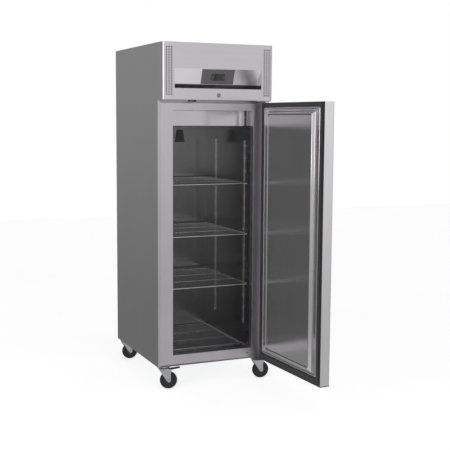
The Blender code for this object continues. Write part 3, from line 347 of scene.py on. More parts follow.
CAD_FINISHES = {
    side_stainless: ("left_side_panel", "right_side_panel"),
    front_stainless: ("front_frame",),
    door_stainless_painted_light: ("door_outer_shell",),
    fascia_stainless: ("fascia_center_panel", "fascia_grille_left", "fascia_grille_right"),
    liner_stainless_painted_shade: ("inner_liner",),
    cover_stainless: ("evaporator_cover",),
    rack_stainless: tuple(f"rack_post_{corner}" for corner in CORNERS),
    galvanised: ("back_panel", "base_pan", "machine_deck", "electrical_box"),
    zinc_plate: ("top_hinge_bracket", "bottom_hinge_bracket", "lock_cam")
    + tuple(f"castor_{part}_{corner}" for part in ("plate", "fork") for corner in CORNERS),
    lock_steel_painted_shade: ("lock_barrel",),
    chrome_wire: ("wire_shelf_1", "wire_shelf_2", "wire_shelf_3", "bottom_rack"),
    coil_aluminium: ("condenser_coil", "evaporator_coil"),
    copper: ("refrigerant_pipe",),
    black_plastic: ("door_switch_body", "door_switch_plunger", "power_inlet_gland", "condenser_fan_blade",
                    "evaporator_fan_blade", "brake_pedal_front_left", "brake_pedal_front_right"),
    edge_plastic: ("door_edge_frame",),
    grey_plastic: ("temperature_probe_guard", "controller_set_key", "controller_up_key"),
    bezel_film: ("control_bezel",),
    display_film: ("temperature_controller",),
    gasket_rubber: ("door_gasket",),
    tyre_rubber: tuple(f"castor_wheel_{corner}" for corner in CORNERS),
    black_paint: ("compressor", "condenser_fan_shroud", "evaporator_fan_motor"),
    foam_skin: ("insulation_foam", "door_foam"),
    door_liner_painted_reflection: ("door_inner_liner",),
}


def finish_cad_nodes():
    for finish, names in CAD_FINISHES.items():
        for name in names:
            materials = NODES[name].data.materials
            materials.clear()
            materials.append(finish)


def put_in_scene(name, data):
    item = bpy.data.objects.new(name, data)
    bpy.context.scene.collection.objects.link(item)
    return item


def round_edges(piece, width):
    bevel = piece.modifiers.new("round edges", "BEVEL")
    bevel.width = width
    bevel.segments = 2
    bevel.limit_method = "ANGLE"
    bevel.angle_limit = radians(35)


def round_cad_edges(width, *names):
    """Small rounded edges on hard CAD parts."""
    for name in names:
        node = NODES[name]
        node.modifiers.new("weld", "WELD").merge_threshold = 0.00001
        round_edges(node, width)
        node.modifiers.new("even shading", "WEIGHTED_NORMAL").keep_sharp = True


# ---------------- mesh helpers
def add_box(bm, low, high):
    size = [b - a for a, b in zip(low, high)]
    middle = [(a + b) / 2 for a, b in zip(low, high)]
    matrix = Matrix.Translation(middle) @ Matrix.Diagonal((*size, 1.0))
    return bmesh.ops.create_cube(bm, size=1.0, matrix=matrix)["verts"]


def add_loft(bm, loops, closed=False, caps=True):
    """Joins loops of equal length in order, and caps both ends or closes the row of loops."""
    rings = [[bm.verts.new(point) for point in loop] for loop in loops]
    pairs = list(zip(rings, rings[1:]))
    if closed:
        pairs.append((rings[-1], rings[0]))
    elif caps:
        bm.faces.new(rings[0])
        bm.faces.new(rings[-1])
    for first, second in pairs:
        for i in range(len(first)):
            j = (i + 1) % len(first)
            bm.faces.new((first[i], first[j], second[j], second[i]))


def add_turned(bm, profile, centre, axis, segments=32):
    """A profile of (radius, distance along the axis) points turned about an axis."""
    turn = Vector((0, 0, 1)).rotation_difference(Vector(axis)).to_matrix()
    rings = []
    for radius, along in profile:
        angles = [2 * pi * k / segments for k in range(segments if radius > 0 else 1)]
        points = [Vector((radius * cos(a), radius * sin(a), along)) for a in angles]
        rings.append([bm.verts.new(turn @ point + Vector(centre)) for point in points])
    pairs = list(zip(rings, rings[1:]))
    if profile[0][0] > 0:
        pairs.append((rings[-1], rings[0]))
    for first, second in pairs:
        for i in range(segments):
            j = (i + 1) % segments
            corners = [ring[k % len(ring)] for ring, k in ((first, i), (first, j), (second, j), (second, i))]
            bm.faces.new(list(dict.fromkeys(corners)))


def mirrored(profile, between=()):
    """A turned profile from one face, and the same profile back from the other face."""
    return [*profile, *between, *((radius, -along) for radius, along in reversed(profile))]


def add_tube(bm, route, radius, sides=10, closed=False):
    """A round bar along a line of points."""
    route = [Vector(point) for point in route]
    count = len(route)
    loops = []
    side = None
    for i, here in enumerate(route):
        before = route[i - 1] if i or closed else here
        after = route[(i + 1) % count] if i + 1 < count or closed else here
        along = (after - before).normalized()
        if side is None:
            side = along.orthogonal().normalized()
        side = (side - along * side.dot(along)).normalized()
        other = along.cross(side)
        angles = [2 * pi * k / sides for k in range(sides)]
        loops.append([here + (side * cos(a) + other * sin(a)) * radius for a in angles])
    add_loft(bm, loops, closed=closed)


def rounded_corners(points, radius, steps=4, closed=False):
    """A line of points with its corners rounded."""
    points = [Vector(point) for point in points]
    count = len(points)
    rounded = []
    for i, here in enumerate(points):
        if not closed and i in (0, count - 1):
            rounded.append(here)
            continue
        before = points[i - 1] - here
        after = points[(i + 1) % count] - here
        reach = min(radius, before.length / 2, after.length / 2)
        start = here + before.normalized() * reach
        end = here + after.normalized() * reach
        for k in range(steps + 1):
            t = k / steps
            rounded.append(start.lerp(here, t).lerp(here.lerp(end, t), t))
    return rounded


def rect_loop(x_low, x_high, z_low, z_high, y, radius=0.0, steps=0):
    """Points round an upright rectangle at depth y, with its corners rounded in steps."""
    corners = [(x_high, z_low, -90), (x_high, z_high, 0), (x_low, z_high, 90), (x_low, z_low, 180)]
    points = []
    for x, z, start in corners:
        if steps == 0:
            points.append(Vector((x, y, z)))
            continue
        inner_x = x - radius if x == x_high else x + radius
        inner_z = z + radius if z == z_low else z - radius
        for k in range(steps + 1):
            angle = radians(start + 90 * k / steps)
            points.append(Vector((inner_x + radius * cos(angle), y, inner_z + radius * sin(angle))))
    return points


def add_screw(bm, centre, axis, radius=0.0035, height=0.0014):
    """A low domed screw head with its driver recess."""
    profile = [(0, 0.25), (0.30, 0.25), (0.42, 0.92), (0.62, 1.0), (0.86, 0.72), (1.0, 0.25), (1.0, -0.3), (0, -0.3)]
    add_turned(bm, [(r * radius, z * height) for r, z in profile], centre, axis, 12)


def make_piece(name, bm, finish, body, stands_for=(), place=None, bevel=0.0, sharp=35):
    """Turns a bmesh into a named piece that moves with a body and carries the finish it is given."""
    bmesh.ops.recalc_face_normals(bm, faces=bm.faces)
    if place is not None:
        bmesh.ops.transform(bm, matrix=place, verts=bm.verts)
    mesh = bpy.data.meshes.new(name)
    bm.to_mesh(mesh)
    bm.free()
    mesh.shade_smooth()
    mesh.set_sharp_from_angle(angle=radians(sharp))
    mesh.materials.append(finish)
    piece = put_in_scene(name, mesh)
    if bevel:
        round_edges(piece, bevel)
    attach(piece, body)
    if stands_for:
        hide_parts(*stands_for)
    return piece


def box_in(node, place):
    """A node's lowest and highest corners in the axes of a place such as the closed door."""
    inverse = place.inverted()
    points = [inverse @ vertex.co for vertex in NODES[node].data.vertices]
    low = Vector([min(point[i] for point in points) for i in range(3)])
    high = Vector([max(point[i] for point in points) for i in range(3)])
    return low, high


# ---------------- wire shelves
RIM_WIRE = 0.003
RUNNER_WIRE = 0.0023
CROSS_WIRE = 0.0021
GRID_WIRE = 0.0016
GRID_PITCH = 0.0245


def make_wire_shelf(node):
    """A rim of thick wire, two thick runners, two cross bars, and thin wires from front to back."""
    low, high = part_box(node)
    middle = (low.z + high.z) / 2
    x_low, x_high = low.x + RIM_WIRE, high.x - RIM_WIRE
    y_low, y_high = low.y + RIM_WIRE, high.y - RIM_WIRE
    bm = bmesh.new()
    rim = [(x_low, y_low, middle), (x_high, y_low, middle), (x_high, y_high, middle), (x_low, y_high, middle)]
    add_tube(bm, rounded_corners(rim, 0.016, closed=True), RIM_WIRE, 12, closed=True)
    for share in (0.25, 0.75):
        x = x_low + (x_high - x_low) * share
        add_tube(bm, [(x, y, high.z - RUNNER_WIRE) for y in (y_low, y_high)], RUNNER_WIRE)
    for share in (0.34, 0.67):
        y = y_low + (y_high - y_low) * share
        add_tube(bm, [(x, y, low.z + CROSS_WIRE) for x in (x_low, x_high)], CROSS_WIRE)
    count = round((x_high - x_low) / GRID_PITCH)
    for k in range(1, count):
        x = x_low + (x_high - x_low) * k / count
        add_tube(bm, [(x, y, high.z - GRID_WIRE) for y in (y_low, y_high)], GRID_WIRE, 8)
    make_piece(f"{node}_wires", bm, chrome_wire, node, (node,))


# ---------------- door, drawn closed and turned open
def door_place():
    hinge = JOINTS["door_hinge"]
    pivot = Vector(hinge["pos_m"])
    turn = Matrix.Rotation(radians(-hinge["range_deg"][0]), 4, "Z")
    return Matrix.Translation(pivot) @ turn @ Matrix.Translation(-pivot)


DOOR = door_place()
GASKET_WIDTH = 0.0205
GASKET_PROFILE = (
    (0.00, 0.00), (0.02, 0.17), (0.17, 0.22), (0.11, 0.42), (0.03, 0.60), (0.04, 0.90), (0.12, 1.00), (0.42, 0.97),
    (0.50, 0.90), (0.58, 0.97), (0.88, 1.00), (0.96, 0.90), (0.97, 0.60), (0.89, 0.42), (0.83, 0.22), (0.98, 0.17),
    (1.00, 0.00),
)
# Each station is its inset from the sides, the top and the bottom of the door, and its rise.
LINER_PROFILE = (
    (0.0345, 0.0230, 0.0435, 0.0000), (0.0362, 0.0238, 0.0446, 0.0003), (0.0380, 0.0254, 0.0464, 0.0016),
    (0.0412, 0.0288, 0.0498, 0.0046), (0.0428, 0.0304, 0.0514, 0.0057), (0.0440, 0.0316, 0.0526, 0.0060),
    (0.0458, 0.0334, 0.0544, 0.0060), (0.0474, 0.0348, 0.0558, 0.0056), (0.0502, 0.0374, 0.0584, 0.0033),
    (0.0518, 0.0390, 0.0600, 0.0023), (0.0534, 0.0402, 0.0612, 0.0020), (0.0560, 0.0408, 0.0618, 0.0020),
    (0.0860, 0.0432, 0.0632, 0.0020), (0.0884, 0.0442, 0.0644, 0.0023), (0.0906, 0.0466, 0.0668, 0.0045),
    (0.0984, 0.0554, 0.0762, 0.0150), (0.1002, 0.0574, 0.0784, 0.0172), (0.1020, 0.0592, 0.0802, 0.0180),
    (0.1052, 0.0628, 0.0834, 0.0180), (0.1068, 0.0646, 0.0852, 0.0176), (0.1098, 0.0694, 0.0896, 0.0148),
    (0.1112, 0.0712, 0.0912, 0.0141), (0.1130, 0.0730, 0.0930, 0.0140), (0.1200, 0.0800, 0.1000, 0.0140),
)


def make_door_gasket():
    """The magnetic seal: a foot, a thin bellows each side and a flat head, mitred at the corners."""
    low, high = box_in("door_gasket", DOOR)
    loops = []
    for across, rise in GASKET_PROFILE:
        inset = across * GASKET_WIDTH
        y = low.y + rise * (high.y - low.y)
        loops.append(rect_loop(low.x + inset, high.x - inset, low.z + inset * 0.95, high.z - inset * 0.9, y))
    bm = bmesh.new()
    add_loft(bm, loops, closed=True)
    make_piece("door_gasket_bellows", bm, gasket_rubber, "door", ("door_gasket",), DOOR)


def make_door_liner():
    """The pressed inner panel: a soft bead, a shallow groove and a raised rim round a flat field."""
    low, high = box_in("door_inner_liner", DOOR)
    side, top, bottom = LINER_PROFILE[0][:3]
    sheet = 0.001

    def row(station, back):
        x, z_top, z_low, rise = station
        radius = 0.006 + 0.10 * (x - side)
        y = low.y + sheet + rise - back
        z_ends = low.z + z_low - bottom, high.z - z_top + top
        return rect_loop(low.x + x - side, high.x - x + side, *z_ends, y, radius, 6)

    inside = [row(station, 0.0) for station in LINER_PROFILE[::-1]]
    outside = [row(station, sheet) for station in LINER_PROFILE]
    bm = bmesh.new()
    add_loft(bm, inside + outside)
    make_piece("door_pressed_liner", bm, door_liner_painted_reflection, "door", ("door_inner_liner",),
               DOOR, sharp=50)


# The grip shell: (inset, depth) of its back and its face, and where its pocket lies across and up the door.
GRIP_OUTSIDE = ((0.0, 0.0004), (0.0, 0.0016), (0.0014, 0.0026), (0.0022, 0.0160), (0.0062, 0.0214), (0.0120, 0.0218))
GRIP_INSIDE = (
    (0.0008, 0.0004), (0.0010, 0.0014), (0.0022, 0.0024), (0.0030, 0.0156), (0.0068, 0.0206), (0.0120, 0.0210),
)
GRIP_ACROSS = (0.0193, 0.0467)
GRIP_UP = (0.7003, 1.0597)


def make_grip_liner():
    """The smooth black shell pressed into the grip pocket of the door's face."""
    low = box_in("door_outer_shell", DOOR)[0]
    x_low, x_high = (low.x + across for across in GRIP_ACROSS)
    z_low, z_high = GRIP_UP

    def row(inset, depth, radius):
        return rect_loop(x_low + inset, x_high - inset, z_low + inset, z_high - inset, low.y + depth, radius, 4)

    back = [row(*station, 0.0028) for station in GRIP_OUTSIDE[::-1]]
    face = [row(*station, 0.0024) for station in GRIP_INSIDE]
    bm = bmesh.new()
    add_loft(bm, back + face)
    make_piece("door_grip_liner", bm, black_plastic, "door", (), DOOR, sharp=50)


def make_hinge_screws():
    frame_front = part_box("front_frame")[0].y
    bracket = 0.0036
    top_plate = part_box("top_hinge_bracket")[1].z - bracket
    bottom_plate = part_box("bottom_hinge_bracket")[0].z + 0.0002
    bm = bmesh.new()
    for x in (0.272, 0.300):
        add_screw(bm, (x, frame_front - 0.012, top_plate), (0, 0, -1))
        add_screw(bm, (x, frame_front - bracket, 0.0085), (0, -1, 0), 0.0042)
        add_screw(bm, (x, frame_front - 0.012, bottom_plate), (0, 0, -1))
    make_piece("hinge_screws", bm, zinc_plate, "cabinet")


# ---------------- castors
def castor_place(corner):
    """The castor's own axes: origin on the swivel at the cabinet's underside, wheel trailing along +X."""
    swivel = JOINTS[f"castor_swivel_{corner}"]["pos_m"]
    axle = JOINTS[f"castor_roll_{corner}"]["pos_m"]
    trail = Vector((axle[0] - swivel[0], axle[1] - swivel[1], 0)).normalized()
    across = Vector((0, 0, 1)).cross(trail)
    turn = Matrix((trail, across, (0, 0, 1))).transposed().to_4x4()
    return Matrix.Translation((swivel[0], swivel[1], 0)) @ turn


def make_castor_wheel(corner):
    place = castor_place(corner)
    node = f"castor_wheel_{corner}"
    low, high = box_in(node, place)
    centre = (low + high) / 2
    radius = (high.z - low.z) / 2
    half = (high.y - low.y) / 2
    core = radius * 0.70
    tread = [
        (core - 0.004, 0.004 - half), (core, 0.003 - half), (core + 0.0015, 0.0012 - half),
        (radius - 0.007, 0.0022 - half), (radius - 0.003, 0.0038 - half), (radius - 0.0008, 0.0070 - half),
        (radius, 0.0105 - half),
    ]
    bm = bmesh.new()
    add_turned(bm, mirrored(tread), centre, (0, 1, 0), 56)
    make_piece(f"castor_tyre_{corner}", bm, tyre_rubber, node, (node,), place, sharp=50)
    hub = [
        (0.0060, 0.0003 - half), (0.0115, 0.0003 - half), (0.0130, 0.0018 - half), (0.0140, 0.0060 - half),
        (core - 0.0070, 0.0070 - half), (core - 0.0050, 0.0030 - half),
    ]
    rim = [(core - 0.0010, 0.0026 - half), (core - 0.0005, half - 0.0030)]
    bm = bmesh.new()
    add_turned(bm, mirrored(hub, rim), centre, (0, 1, 0), 40)
    for k in range(6):
        angle = 2 * pi * k / 6
        spin = Matrix.Translation(centre) @ Matrix.Rotation(angle, 4, "Y")
        for face in (-1, 1):
            edges = sorted((face * (half - 0.0085), face * (half - 0.0040)))
            rib = add_box(bm, (0.0125, edges[0], -0.0014), (core - 0.0055, edges[1], 0.0014))
            bmesh.ops.transform(bm, matrix=spin, verts=rib)
    make_piece(f"castor_hub_{corner}", bm, hub_plastic, node, (), place)


RACE_LIP = (
    (0.0225, -0.0192), (0.0275, -0.0192), (0.0292, -0.0176), (0.0302, -0.0150), (0.0302, -0.0122), (0.0290, -0.0112),
    (0.0285, -0.0122), (0.0285, -0.0165), (0.0225, -0.0178),
)
KINGPIN_HEAD = ((0, -0.0228), (0.0050, -0.0228), (0.0070, -0.0212), (0.0075, -0.0175), (0, -0.0175))
BOLT_HEAD = ((0, 0.0035), (0.0030, 0.0035), (0.0040, 0.0028), (0.0040, -0.0005), (0, -0.0005))
BOLT_WASHER = ((0, 0.0009), (0.0055, 0.0009), (0.0055, -0.0004), (0, -0.0004))


def make_castor_hardware(corner):
    """The lower ball race on the fork, the dust ring, and the bolts that hold the plate."""
    place = castor_place(corner)
    fork = f"castor_fork_{corner}"
    bm = bmesh.new()
    add_turned(bm, RACE_LIP, (0, 0, 0), (0, 0, 1), 40)
    add_turned(bm, KINGPIN_HEAD, (0, 0, 0), (0, 0, 1), 20)
    make_piece(f"castor_race_{corner}", bm, zinc_plate, fork, (), place)
    low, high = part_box(f"castor_plate_{corner}")
    plate, inset = high.z - 0.003, 0.0075
    bm = bmesh.new()
    for x in (low.x + inset, high.x - inset):
        for y in (low.y + inset, high.y - inset):
            add_turned(bm, BOLT_HEAD, (x, y, plate), (0, 0, -1), 6)
            add_turned(bm, BOLT_WASHER, (x, y, plate), (0, 0, -1), 16)
    make_piece(f"castor_bolts_{corner}", bm, zinc_plate, "cabinet")


# ---------------- controls
def slope_place():
    """The sloping panel's axes, as (across, down the slope, outwards), found from the left end of the bezel."""
    points = [vertex.co for vertex in NODES["control_bezel"].data.vertices]
    left = min(point.x for point in points)
    end = sorted((point for point in points if abs(point.x - left) < 1e-5), key=lambda point: point.z)
    low_edge = min(end[:2], key=lambda point: point.y)
    high_edge = min(end[-2:], key=lambda point: point.y)
    down = Vector((0, low_edge.y - high_edge.y, low_edge.z - high_edge.z)).normalized()
    across = Vector((1, 0, 0))
    out = across.cross(down)
    start = Vector((0, high_edge.y, high_edge.z))
    turn = Matrix((across, down, out)).transposed().to_4x4()
    return Matrix.Translation(start) @ turn


def add_segment(bm, centre, length, width, upright):
    """One bar of a digit, with pointed ends, lying on the sloping panel."""
    half, thick = length / 2, width / 2
    inner = half - thick
    shape = [(-half, 0), (-inner, -thick), (inner, -thick), (half, 0), (inner, thick), (-inner, thick)]
    if upright:
        shape = [(-b, a) for a, b in shape]
    points = [(centre[0] + a, centre[1] + b) for a, b in shape]
    add_loft(bm, [[(a, b, level) for a, b in points] for level in (centre[2], centre[2] + 0.00015)])


def make_lock_details():
    low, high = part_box("lock_barrel")
    centre = Vector(((low.x + high.x) / 2, low.y, (low.z + high.z) / 2))
    radius = (high.x - low.x) / 2
    bm = bmesh.new()
    collar = ((0.0004, -0.0003), (0.0004, 0.0014), (0.0012, 0.0022), (0.0026, 0.0018), (0.0036, 0.0004),
              (0.0036, -0.0003))
    add_turned(bm, [(radius + out, along) for out, along in collar], centre + Vector((0, 0.0022, 0)), (0, -1, 0), 32)
    # The collar and the key face take the dark lock steel, painted shade for the recess.
    make_piece("lock_collar", bm, lock_steel_painted_shade, "cabinet")
    bm = bmesh.new()
    face = [(0.0030, -0.0010), (0.0030, 0.0006), (0.0045, 0.0010), (0.0068, 0.0008)]
    face += [(radius - 0.0004, -0.0004), (radius - 0.0006, -0.0010)]
    add_turned(bm, face, centre, (0, -1, 0), 32)
    make_piece("lock_key_face", bm, lock_steel_painted_shade, "lock")
    bm = bmesh.new()
    loop = rect_loop(centre.x - 0.0009, centre.x + 0.0009, centre.z - 0.0038, centre.z + 0.0038, 0.0, 0.0006, 2)
    add_loft(bm, [[(p.x, centre.y + depth, p.z) for p in loop] for depth in (-0.0004, 0.0016)])
    make_piece("lock_keyway", bm, black_plastic, "lock")


# ---------------- condensing unit and evaporator
def make_coil(node, body, fins, rows, layers, tube_finish):
    """Thin fins on a block of tubes that run across it, with return bends at both ends."""
    low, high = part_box(node)
    bend = 0.010
    bm = bmesh.new()
    for k in range(fins):
        x = low.x + bend + 0.002 + (high.x - low.x - 2 * bend - 0.004) * k / (fins - 1)
        thick = 0.0008 if 0 < k < fins - 1 else 0.0016
        add_box(bm, (x - thick / 2, low.y, low.z), (x + thick / 2, high.y, high.z))
    make_piece(f"{node}_fins", bm, coil_aluminium, body, (node,))
    bm = bmesh.new()
    step_z = (high.z - low.z) / rows
    step_y = (high.y - low.y) / layers
    for layer in range(layers):
        y = low.y + step_y * (layer + 0.5)
        route = []
        for row in range(rows):
            z = low.z + step_z * (row + 0.5)
            ends = [(low.x + 0.004, y, z), (high.x - 0.004, y, z)]
            route += ends if row % 2 == 0 else ends[::-1]
        add_tube(bm, rounded_corners(route, min(bend, step_z / 2.05), 5), 0.0038, 10)
    make_piece(f"{node}_tubes", bm, tube_finish, body)


POT_PROFILE = (
    (0, 0.012), (0.050, 0.012), (0.066, 0.016), (0.078, 0.026), (0.084, 0.040), (0.0855, 0.060), (0.0855, 0.092),
    (0.0862, 0.096), (0.0862, 0.100), (0.0825, 0.103), (0.0800, 0.108), (0.0795, 0.140), (0.0760, 0.158),
    (0.0660, 0.175), (0.0500, 0.186), (0.0280, 0.1915), (0, 0.1920),
)
GROMMET = ((0, 0), (0.009, 0), (0.010, 0.003), (0.0075, 0.0055), (0.010, 0.008), (0.009, 0.0095), (0, 0.0095))


def make_compressor():
    """The welded steel pot on its two feet, with rubber grommets, terminal cover and pipe stubs."""
    low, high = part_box("compressor")
    x, y = (low.x + high.x) / 2, (low.y + high.y) / 2
    z = low.z
    bm = bmesh.new()
    add_turned(bm, POT_PROFILE, (x, y, z), (0, 0, 1), 48)
    for side in (-1, 1):
        y_low, y_high = sorted((y + side * 0.045, y + side * 0.075))
        add_box(bm, (low.x, y_low, z + 0.0095), (high.x, y_high, z + 0.0125))
        for foot in (low.x + 0.013, high.x - 0.013):
            add_turned(bm, GROMMET, (foot, (y_low + y_high) / 2, z), (0, 0, 1), 16)
            add_screw(bm, (foot, (y_low + y_high) / 2, z + 0.0127), (0, 0, 1), 0.0055, 0.003)
    make_piece("compressor_pot", bm, black_paint, "cabinet", ("compressor",), bevel=0.0004)
    bm = bmesh.new()
    add_box(bm, (x - 0.1000, y - 0.035, z + 0.040), (x - 0.0720, y + 0.035, z + 0.100))
    make_piece("compressor_terminal_cover", bm, black_plastic, "cabinet", bevel=0.004)
    bm = bmesh.new()
    for angle, rise in ((200, 0.150), (320, 0.060)):
        out = Vector((cos(radians(angle)), sin(radians(angle)), 0))
        start = Vector((x, y, z + rise)) + out * 0.074
        turn = start + out * 0.018
        add_tube(bm, rounded_corners([start, turn, turn + Vector((0, 0, 0.034))], 0.010), 0.0042, 12)
    make_piece("compressor_stubs", bm, copper, "cabinet")


# Points round a blade's section: place along the chord, and height in blade thicknesses.
BLADE_SECTION = ((-0.5, 0), (-0.25, 0.9), (0.1, 1.2), (0.5, 0.1), (0.5, -0.1), (0.1, 0.0), (-0.25, -0.4))
BLADE_STATIONS = 7


def make_fan(node, body, axis, count, reach, hub):
    """A moulded fan: a domed hub with twisted, swept blades."""
    low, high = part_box(node)
    centre = (low + high) / 2
    half = 0.0115
    turn = Vector((0, 0, 1)).rotation_difference(Vector(axis)).to_matrix().to_4x4()
    place = Matrix.Translation(centre) @ turn
    bm = bmesh.new()
    dome = [(0, -half), (hub, -half), (hub, half * 0.55), (hub * 0.93, half * 0.85), (hub * 0.7, half), (0, half)]
    add_turned(bm, dome, (0, 0, 0), (0, 0, 1), 32)
    for k in range(count):
        loops = []
        for station in range(BLADE_STATIONS):
            share = station / (BLADE_STATIONS - 1)
            radius = hub * 0.94 + (reach - hub * 0.94) * share
            chord = reach * (0.34 + 0.20 * sin(pi * (0.15 + 0.75 * share)))
            pitch = radians(38 - 16 * share)
            sweep = 0.25 * share
            thick = 0.0013 - 0.0005 * share
            row = []
            for along, up in BLADE_SECTION:
                lie = along * chord
                crown = up * thick + 0.0035 * (0.25 - along * along)
                flat = lie * cos(pitch) - crown * sin(pitch)
                rise = lie * sin(pitch) * 0.62 + crown * cos(pitch)
                angle = flat / radius + sweep + 2 * pi * k / count
                row.append((radius * cos(angle), radius * sin(angle), rise))
            loops.append(row)
        add_loft(bm, loops)
    make_piece(f"{node}_moulding", bm, black_plastic, body, (node,), place, sharp=45)


def make_pipe():
    """The discharge line: smooth copper bends with the filter drier in its last straight."""
    pot_low, pot_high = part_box("compressor")
    coil_low, coil_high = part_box("condenser_coil")
    pot = Vector(((pot_low.x + pot_high.x) / 2, (pot_low.y + pot_high.y) / 2, pot_low.z))
    start = pot + Vector((-0.040, -0.088, 0.120))
    end = Vector((coil_high.x + 0.003, coil_high.y + 0.020, coil_low.z + 0.060))
    leaving = ((0, 0, 0), (0, -0.040, 0), (-0.010, -0.075, 0.012), (-0.035, -0.100, 0.012), (-0.050, -0.130, -0.010))
    arriving = ((0.012, 0.160, 0.030), (0.012, 0.070, 0.010), (0.010, 0.020, 0), (0.004, 0, 0))
    route = [start + Vector(step) for step in leaving] + [end + Vector(step) for step in arriving]
    bm = bmesh.new()
    add_tube(bm, rounded_corners(route, 0.030, 6), 0.0036, 14)
    straight = route[6] - route[5]
    length = straight.length * 0.70
    neck = ((0, 0), (0.0045, 0), (0.0055, 0.06), (0.0105, 0.16), (0.0110, 0.22))
    drier = [*neck, *((radius, 1 - share) for radius, share in reversed(neck))]
    profile = [(radius, share * length) for radius, share in drier]
    add_turned(bm, profile, route[5].lerp(route[6], 0.15), straight.normalized(), 20)
    make_piece("discharge_line", bm, copper, "cabinet", ("refrigerant_pipe",), sharp=50)


def make_box_lid():
    low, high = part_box("electrical_box")
    bm = bmesh.new()
    add_box(bm, (low.x + 0.001, low.y - 0.0012, low.z + 0.060), (high.x - 0.001, low.y, high.z - 0.001))
    for x in (low.x + 0.010, high.x - 0.010):
        for z in (low.z + 0.068, high.z - 0.009):
            add_screw(bm, (x, low.y - 0.0012, z), (0, -1, 0))
    make_piece("electrical_box_lid", bm, galvanised, "cabinet", bevel=0.0004)


# ---------------- cabinet details
LOUVRE_ROWS = 6
LOUVRE_LOW = 1.645
LOUVRE_PITCH = 0.032
LOUVRE_REACH = 0.222
# The section of a hood, as (depth in from the back panel, height above its slot).
LOUVRE_SECTION = (
    (0.0, 0.0135), (0.0040, 0.0140), (0.0108, 0.0070), (0.0112, -0.001),
    (0.0100, -0.001), (0.0095, 0.006), (0.0035, 0.0125), (0.0, 0.012),
)


def make_louvre_hoods():
    """The hoods pressed in behind the slots of the back panel."""
    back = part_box("back_panel")[0].y - 0.0002
    bm = bmesh.new()
    for row in range(LOUVRE_ROWS):
        slot = LOUVRE_LOW + LOUVRE_PITCH * row
        ends = (-LOUVRE_REACH, LOUVRE_REACH)
        add_loft(bm, [[(x, back - depth, slot + up) for depth, up in LOUVRE_SECTION] for x in ends])
    make_piece("back_louvre_hoods", bm, galvanised, "cabinet")


DECK_SEAM = 1.580


def make_back_screws():
    low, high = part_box("back_panel")
    bm = bmesh.new()
    for side in (low.x + 0.0075, high.x - 0.0075):
        for k in range(8):
            z = low.z + 0.05 + (high.z - low.z - 0.10) * k / 7
            add_screw(bm, (side, high.y - 0.0006, z), (0, 1, 0), 0.0032, 0.0010)
    for k in range(1, 5):
        x = low.x + (high.x - low.x) * k / 5
        for z in (high.z - 0.012, DECK_SEAM):
            add_screw(bm, (x, high.y - 0.0006, z), (0, 1, 0), 0.0032, 0.0010)
    make_piece("back_screws", bm, zinc_plate, "cabinet")


def make_cover_screws():
    low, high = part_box("evaporator_cover")
    bm = bmesh.new()
    for x in (low.x + 0.022, high.x - 0.022):
        add_screw(bm, (x, low.y, low.z + 0.050), (0, -1, 0), 0.0040)
        for y in (low.y + 0.060, high.y - 0.050):
            add_screw(bm, (x, y, low.z), (0, 0, -1), 0.0040)
    make_piece("evaporator_cover_screws", bm, zinc_plate, "cabinet")


def make_post_screws():
    bm = bmesh.new()
    for corner in CORNERS:
        low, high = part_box(f"rack_post_{corner}")
        side = -1 if corner.endswith("left") else 1
        wall = low.x if side < 0 else high.x
        face = wall - side * 0.0025
        for z in (low.z + 0.010, high.z - 0.010, (low.z + high.z) / 2 + 0.020):
            add_screw(bm, (face, (low.y + high.y) / 2, z), (-side, 0, 0), 0.0036, 0.0012)
    make_piece("rack_post_screws", bm, zinc_plate, "cabinet")


def make_frame_plug():
    """The blanking plug in the unused hinge hole of the lower front rail."""
    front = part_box("front_frame")[0].y
    profile = [(0, 0.0003), (0.0036, 0.0003), (0.0047, 0.0001), (0.0048, -0.0006), (0, -0.0006)]
    bm = bmesh.new()
    add_turned(bm, profile, (0.226, front, 0.038), (0, -1, 0), 20)
    make_piece("front_rail_plug", bm, black_plastic, "cabinet")


# Across the fascia, the edges of the dark strips that paint the shade behind the vent holes.
VENT_SHADE_EDGES = (0.2800, 0.3290)


def make_vent_shade_strips():
    """Black foam strips held behind the vent holes: a dark sheet that paints the shade seen through them."""
    for word, side in (("left", -1), ("right", 1)):
        low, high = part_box(f"fascia_grille_{word}")
        edges = sorted(side * edge for edge in VENT_SHADE_EDGES)
        bm = bmesh.new()
        add_box(bm, (edges[0], low.y + 0.0022, low.z + 0.012), (edges[1], low.y + 0.0072, high.z - 0.012))
        make_piece(f"vent_shade_strip_{word}", bm, vent_shade_foam, "cabinet", bevel=0.001)


WINDOW_HALF_WIDE = 0.0265
WINDOW_HALF_TALL = 0.0125
DIGIT_TALL = 0.0078
DIGIT_WIDE = 0.0064
BAR_WIDTH = 0.0014
# The bars of a digit: across and down as shares of half its width and its height, and whether the bar is upright.
DIGIT_BARS = {
    "a": (0, -1, False), "g": (0, 0, False), "d": (0, 1, False),
    "f": (-1, -0.5, True), "b": (1, -0.5, True), "e": (-1, 0.5, True), "c": (1, 0.5, True),
}


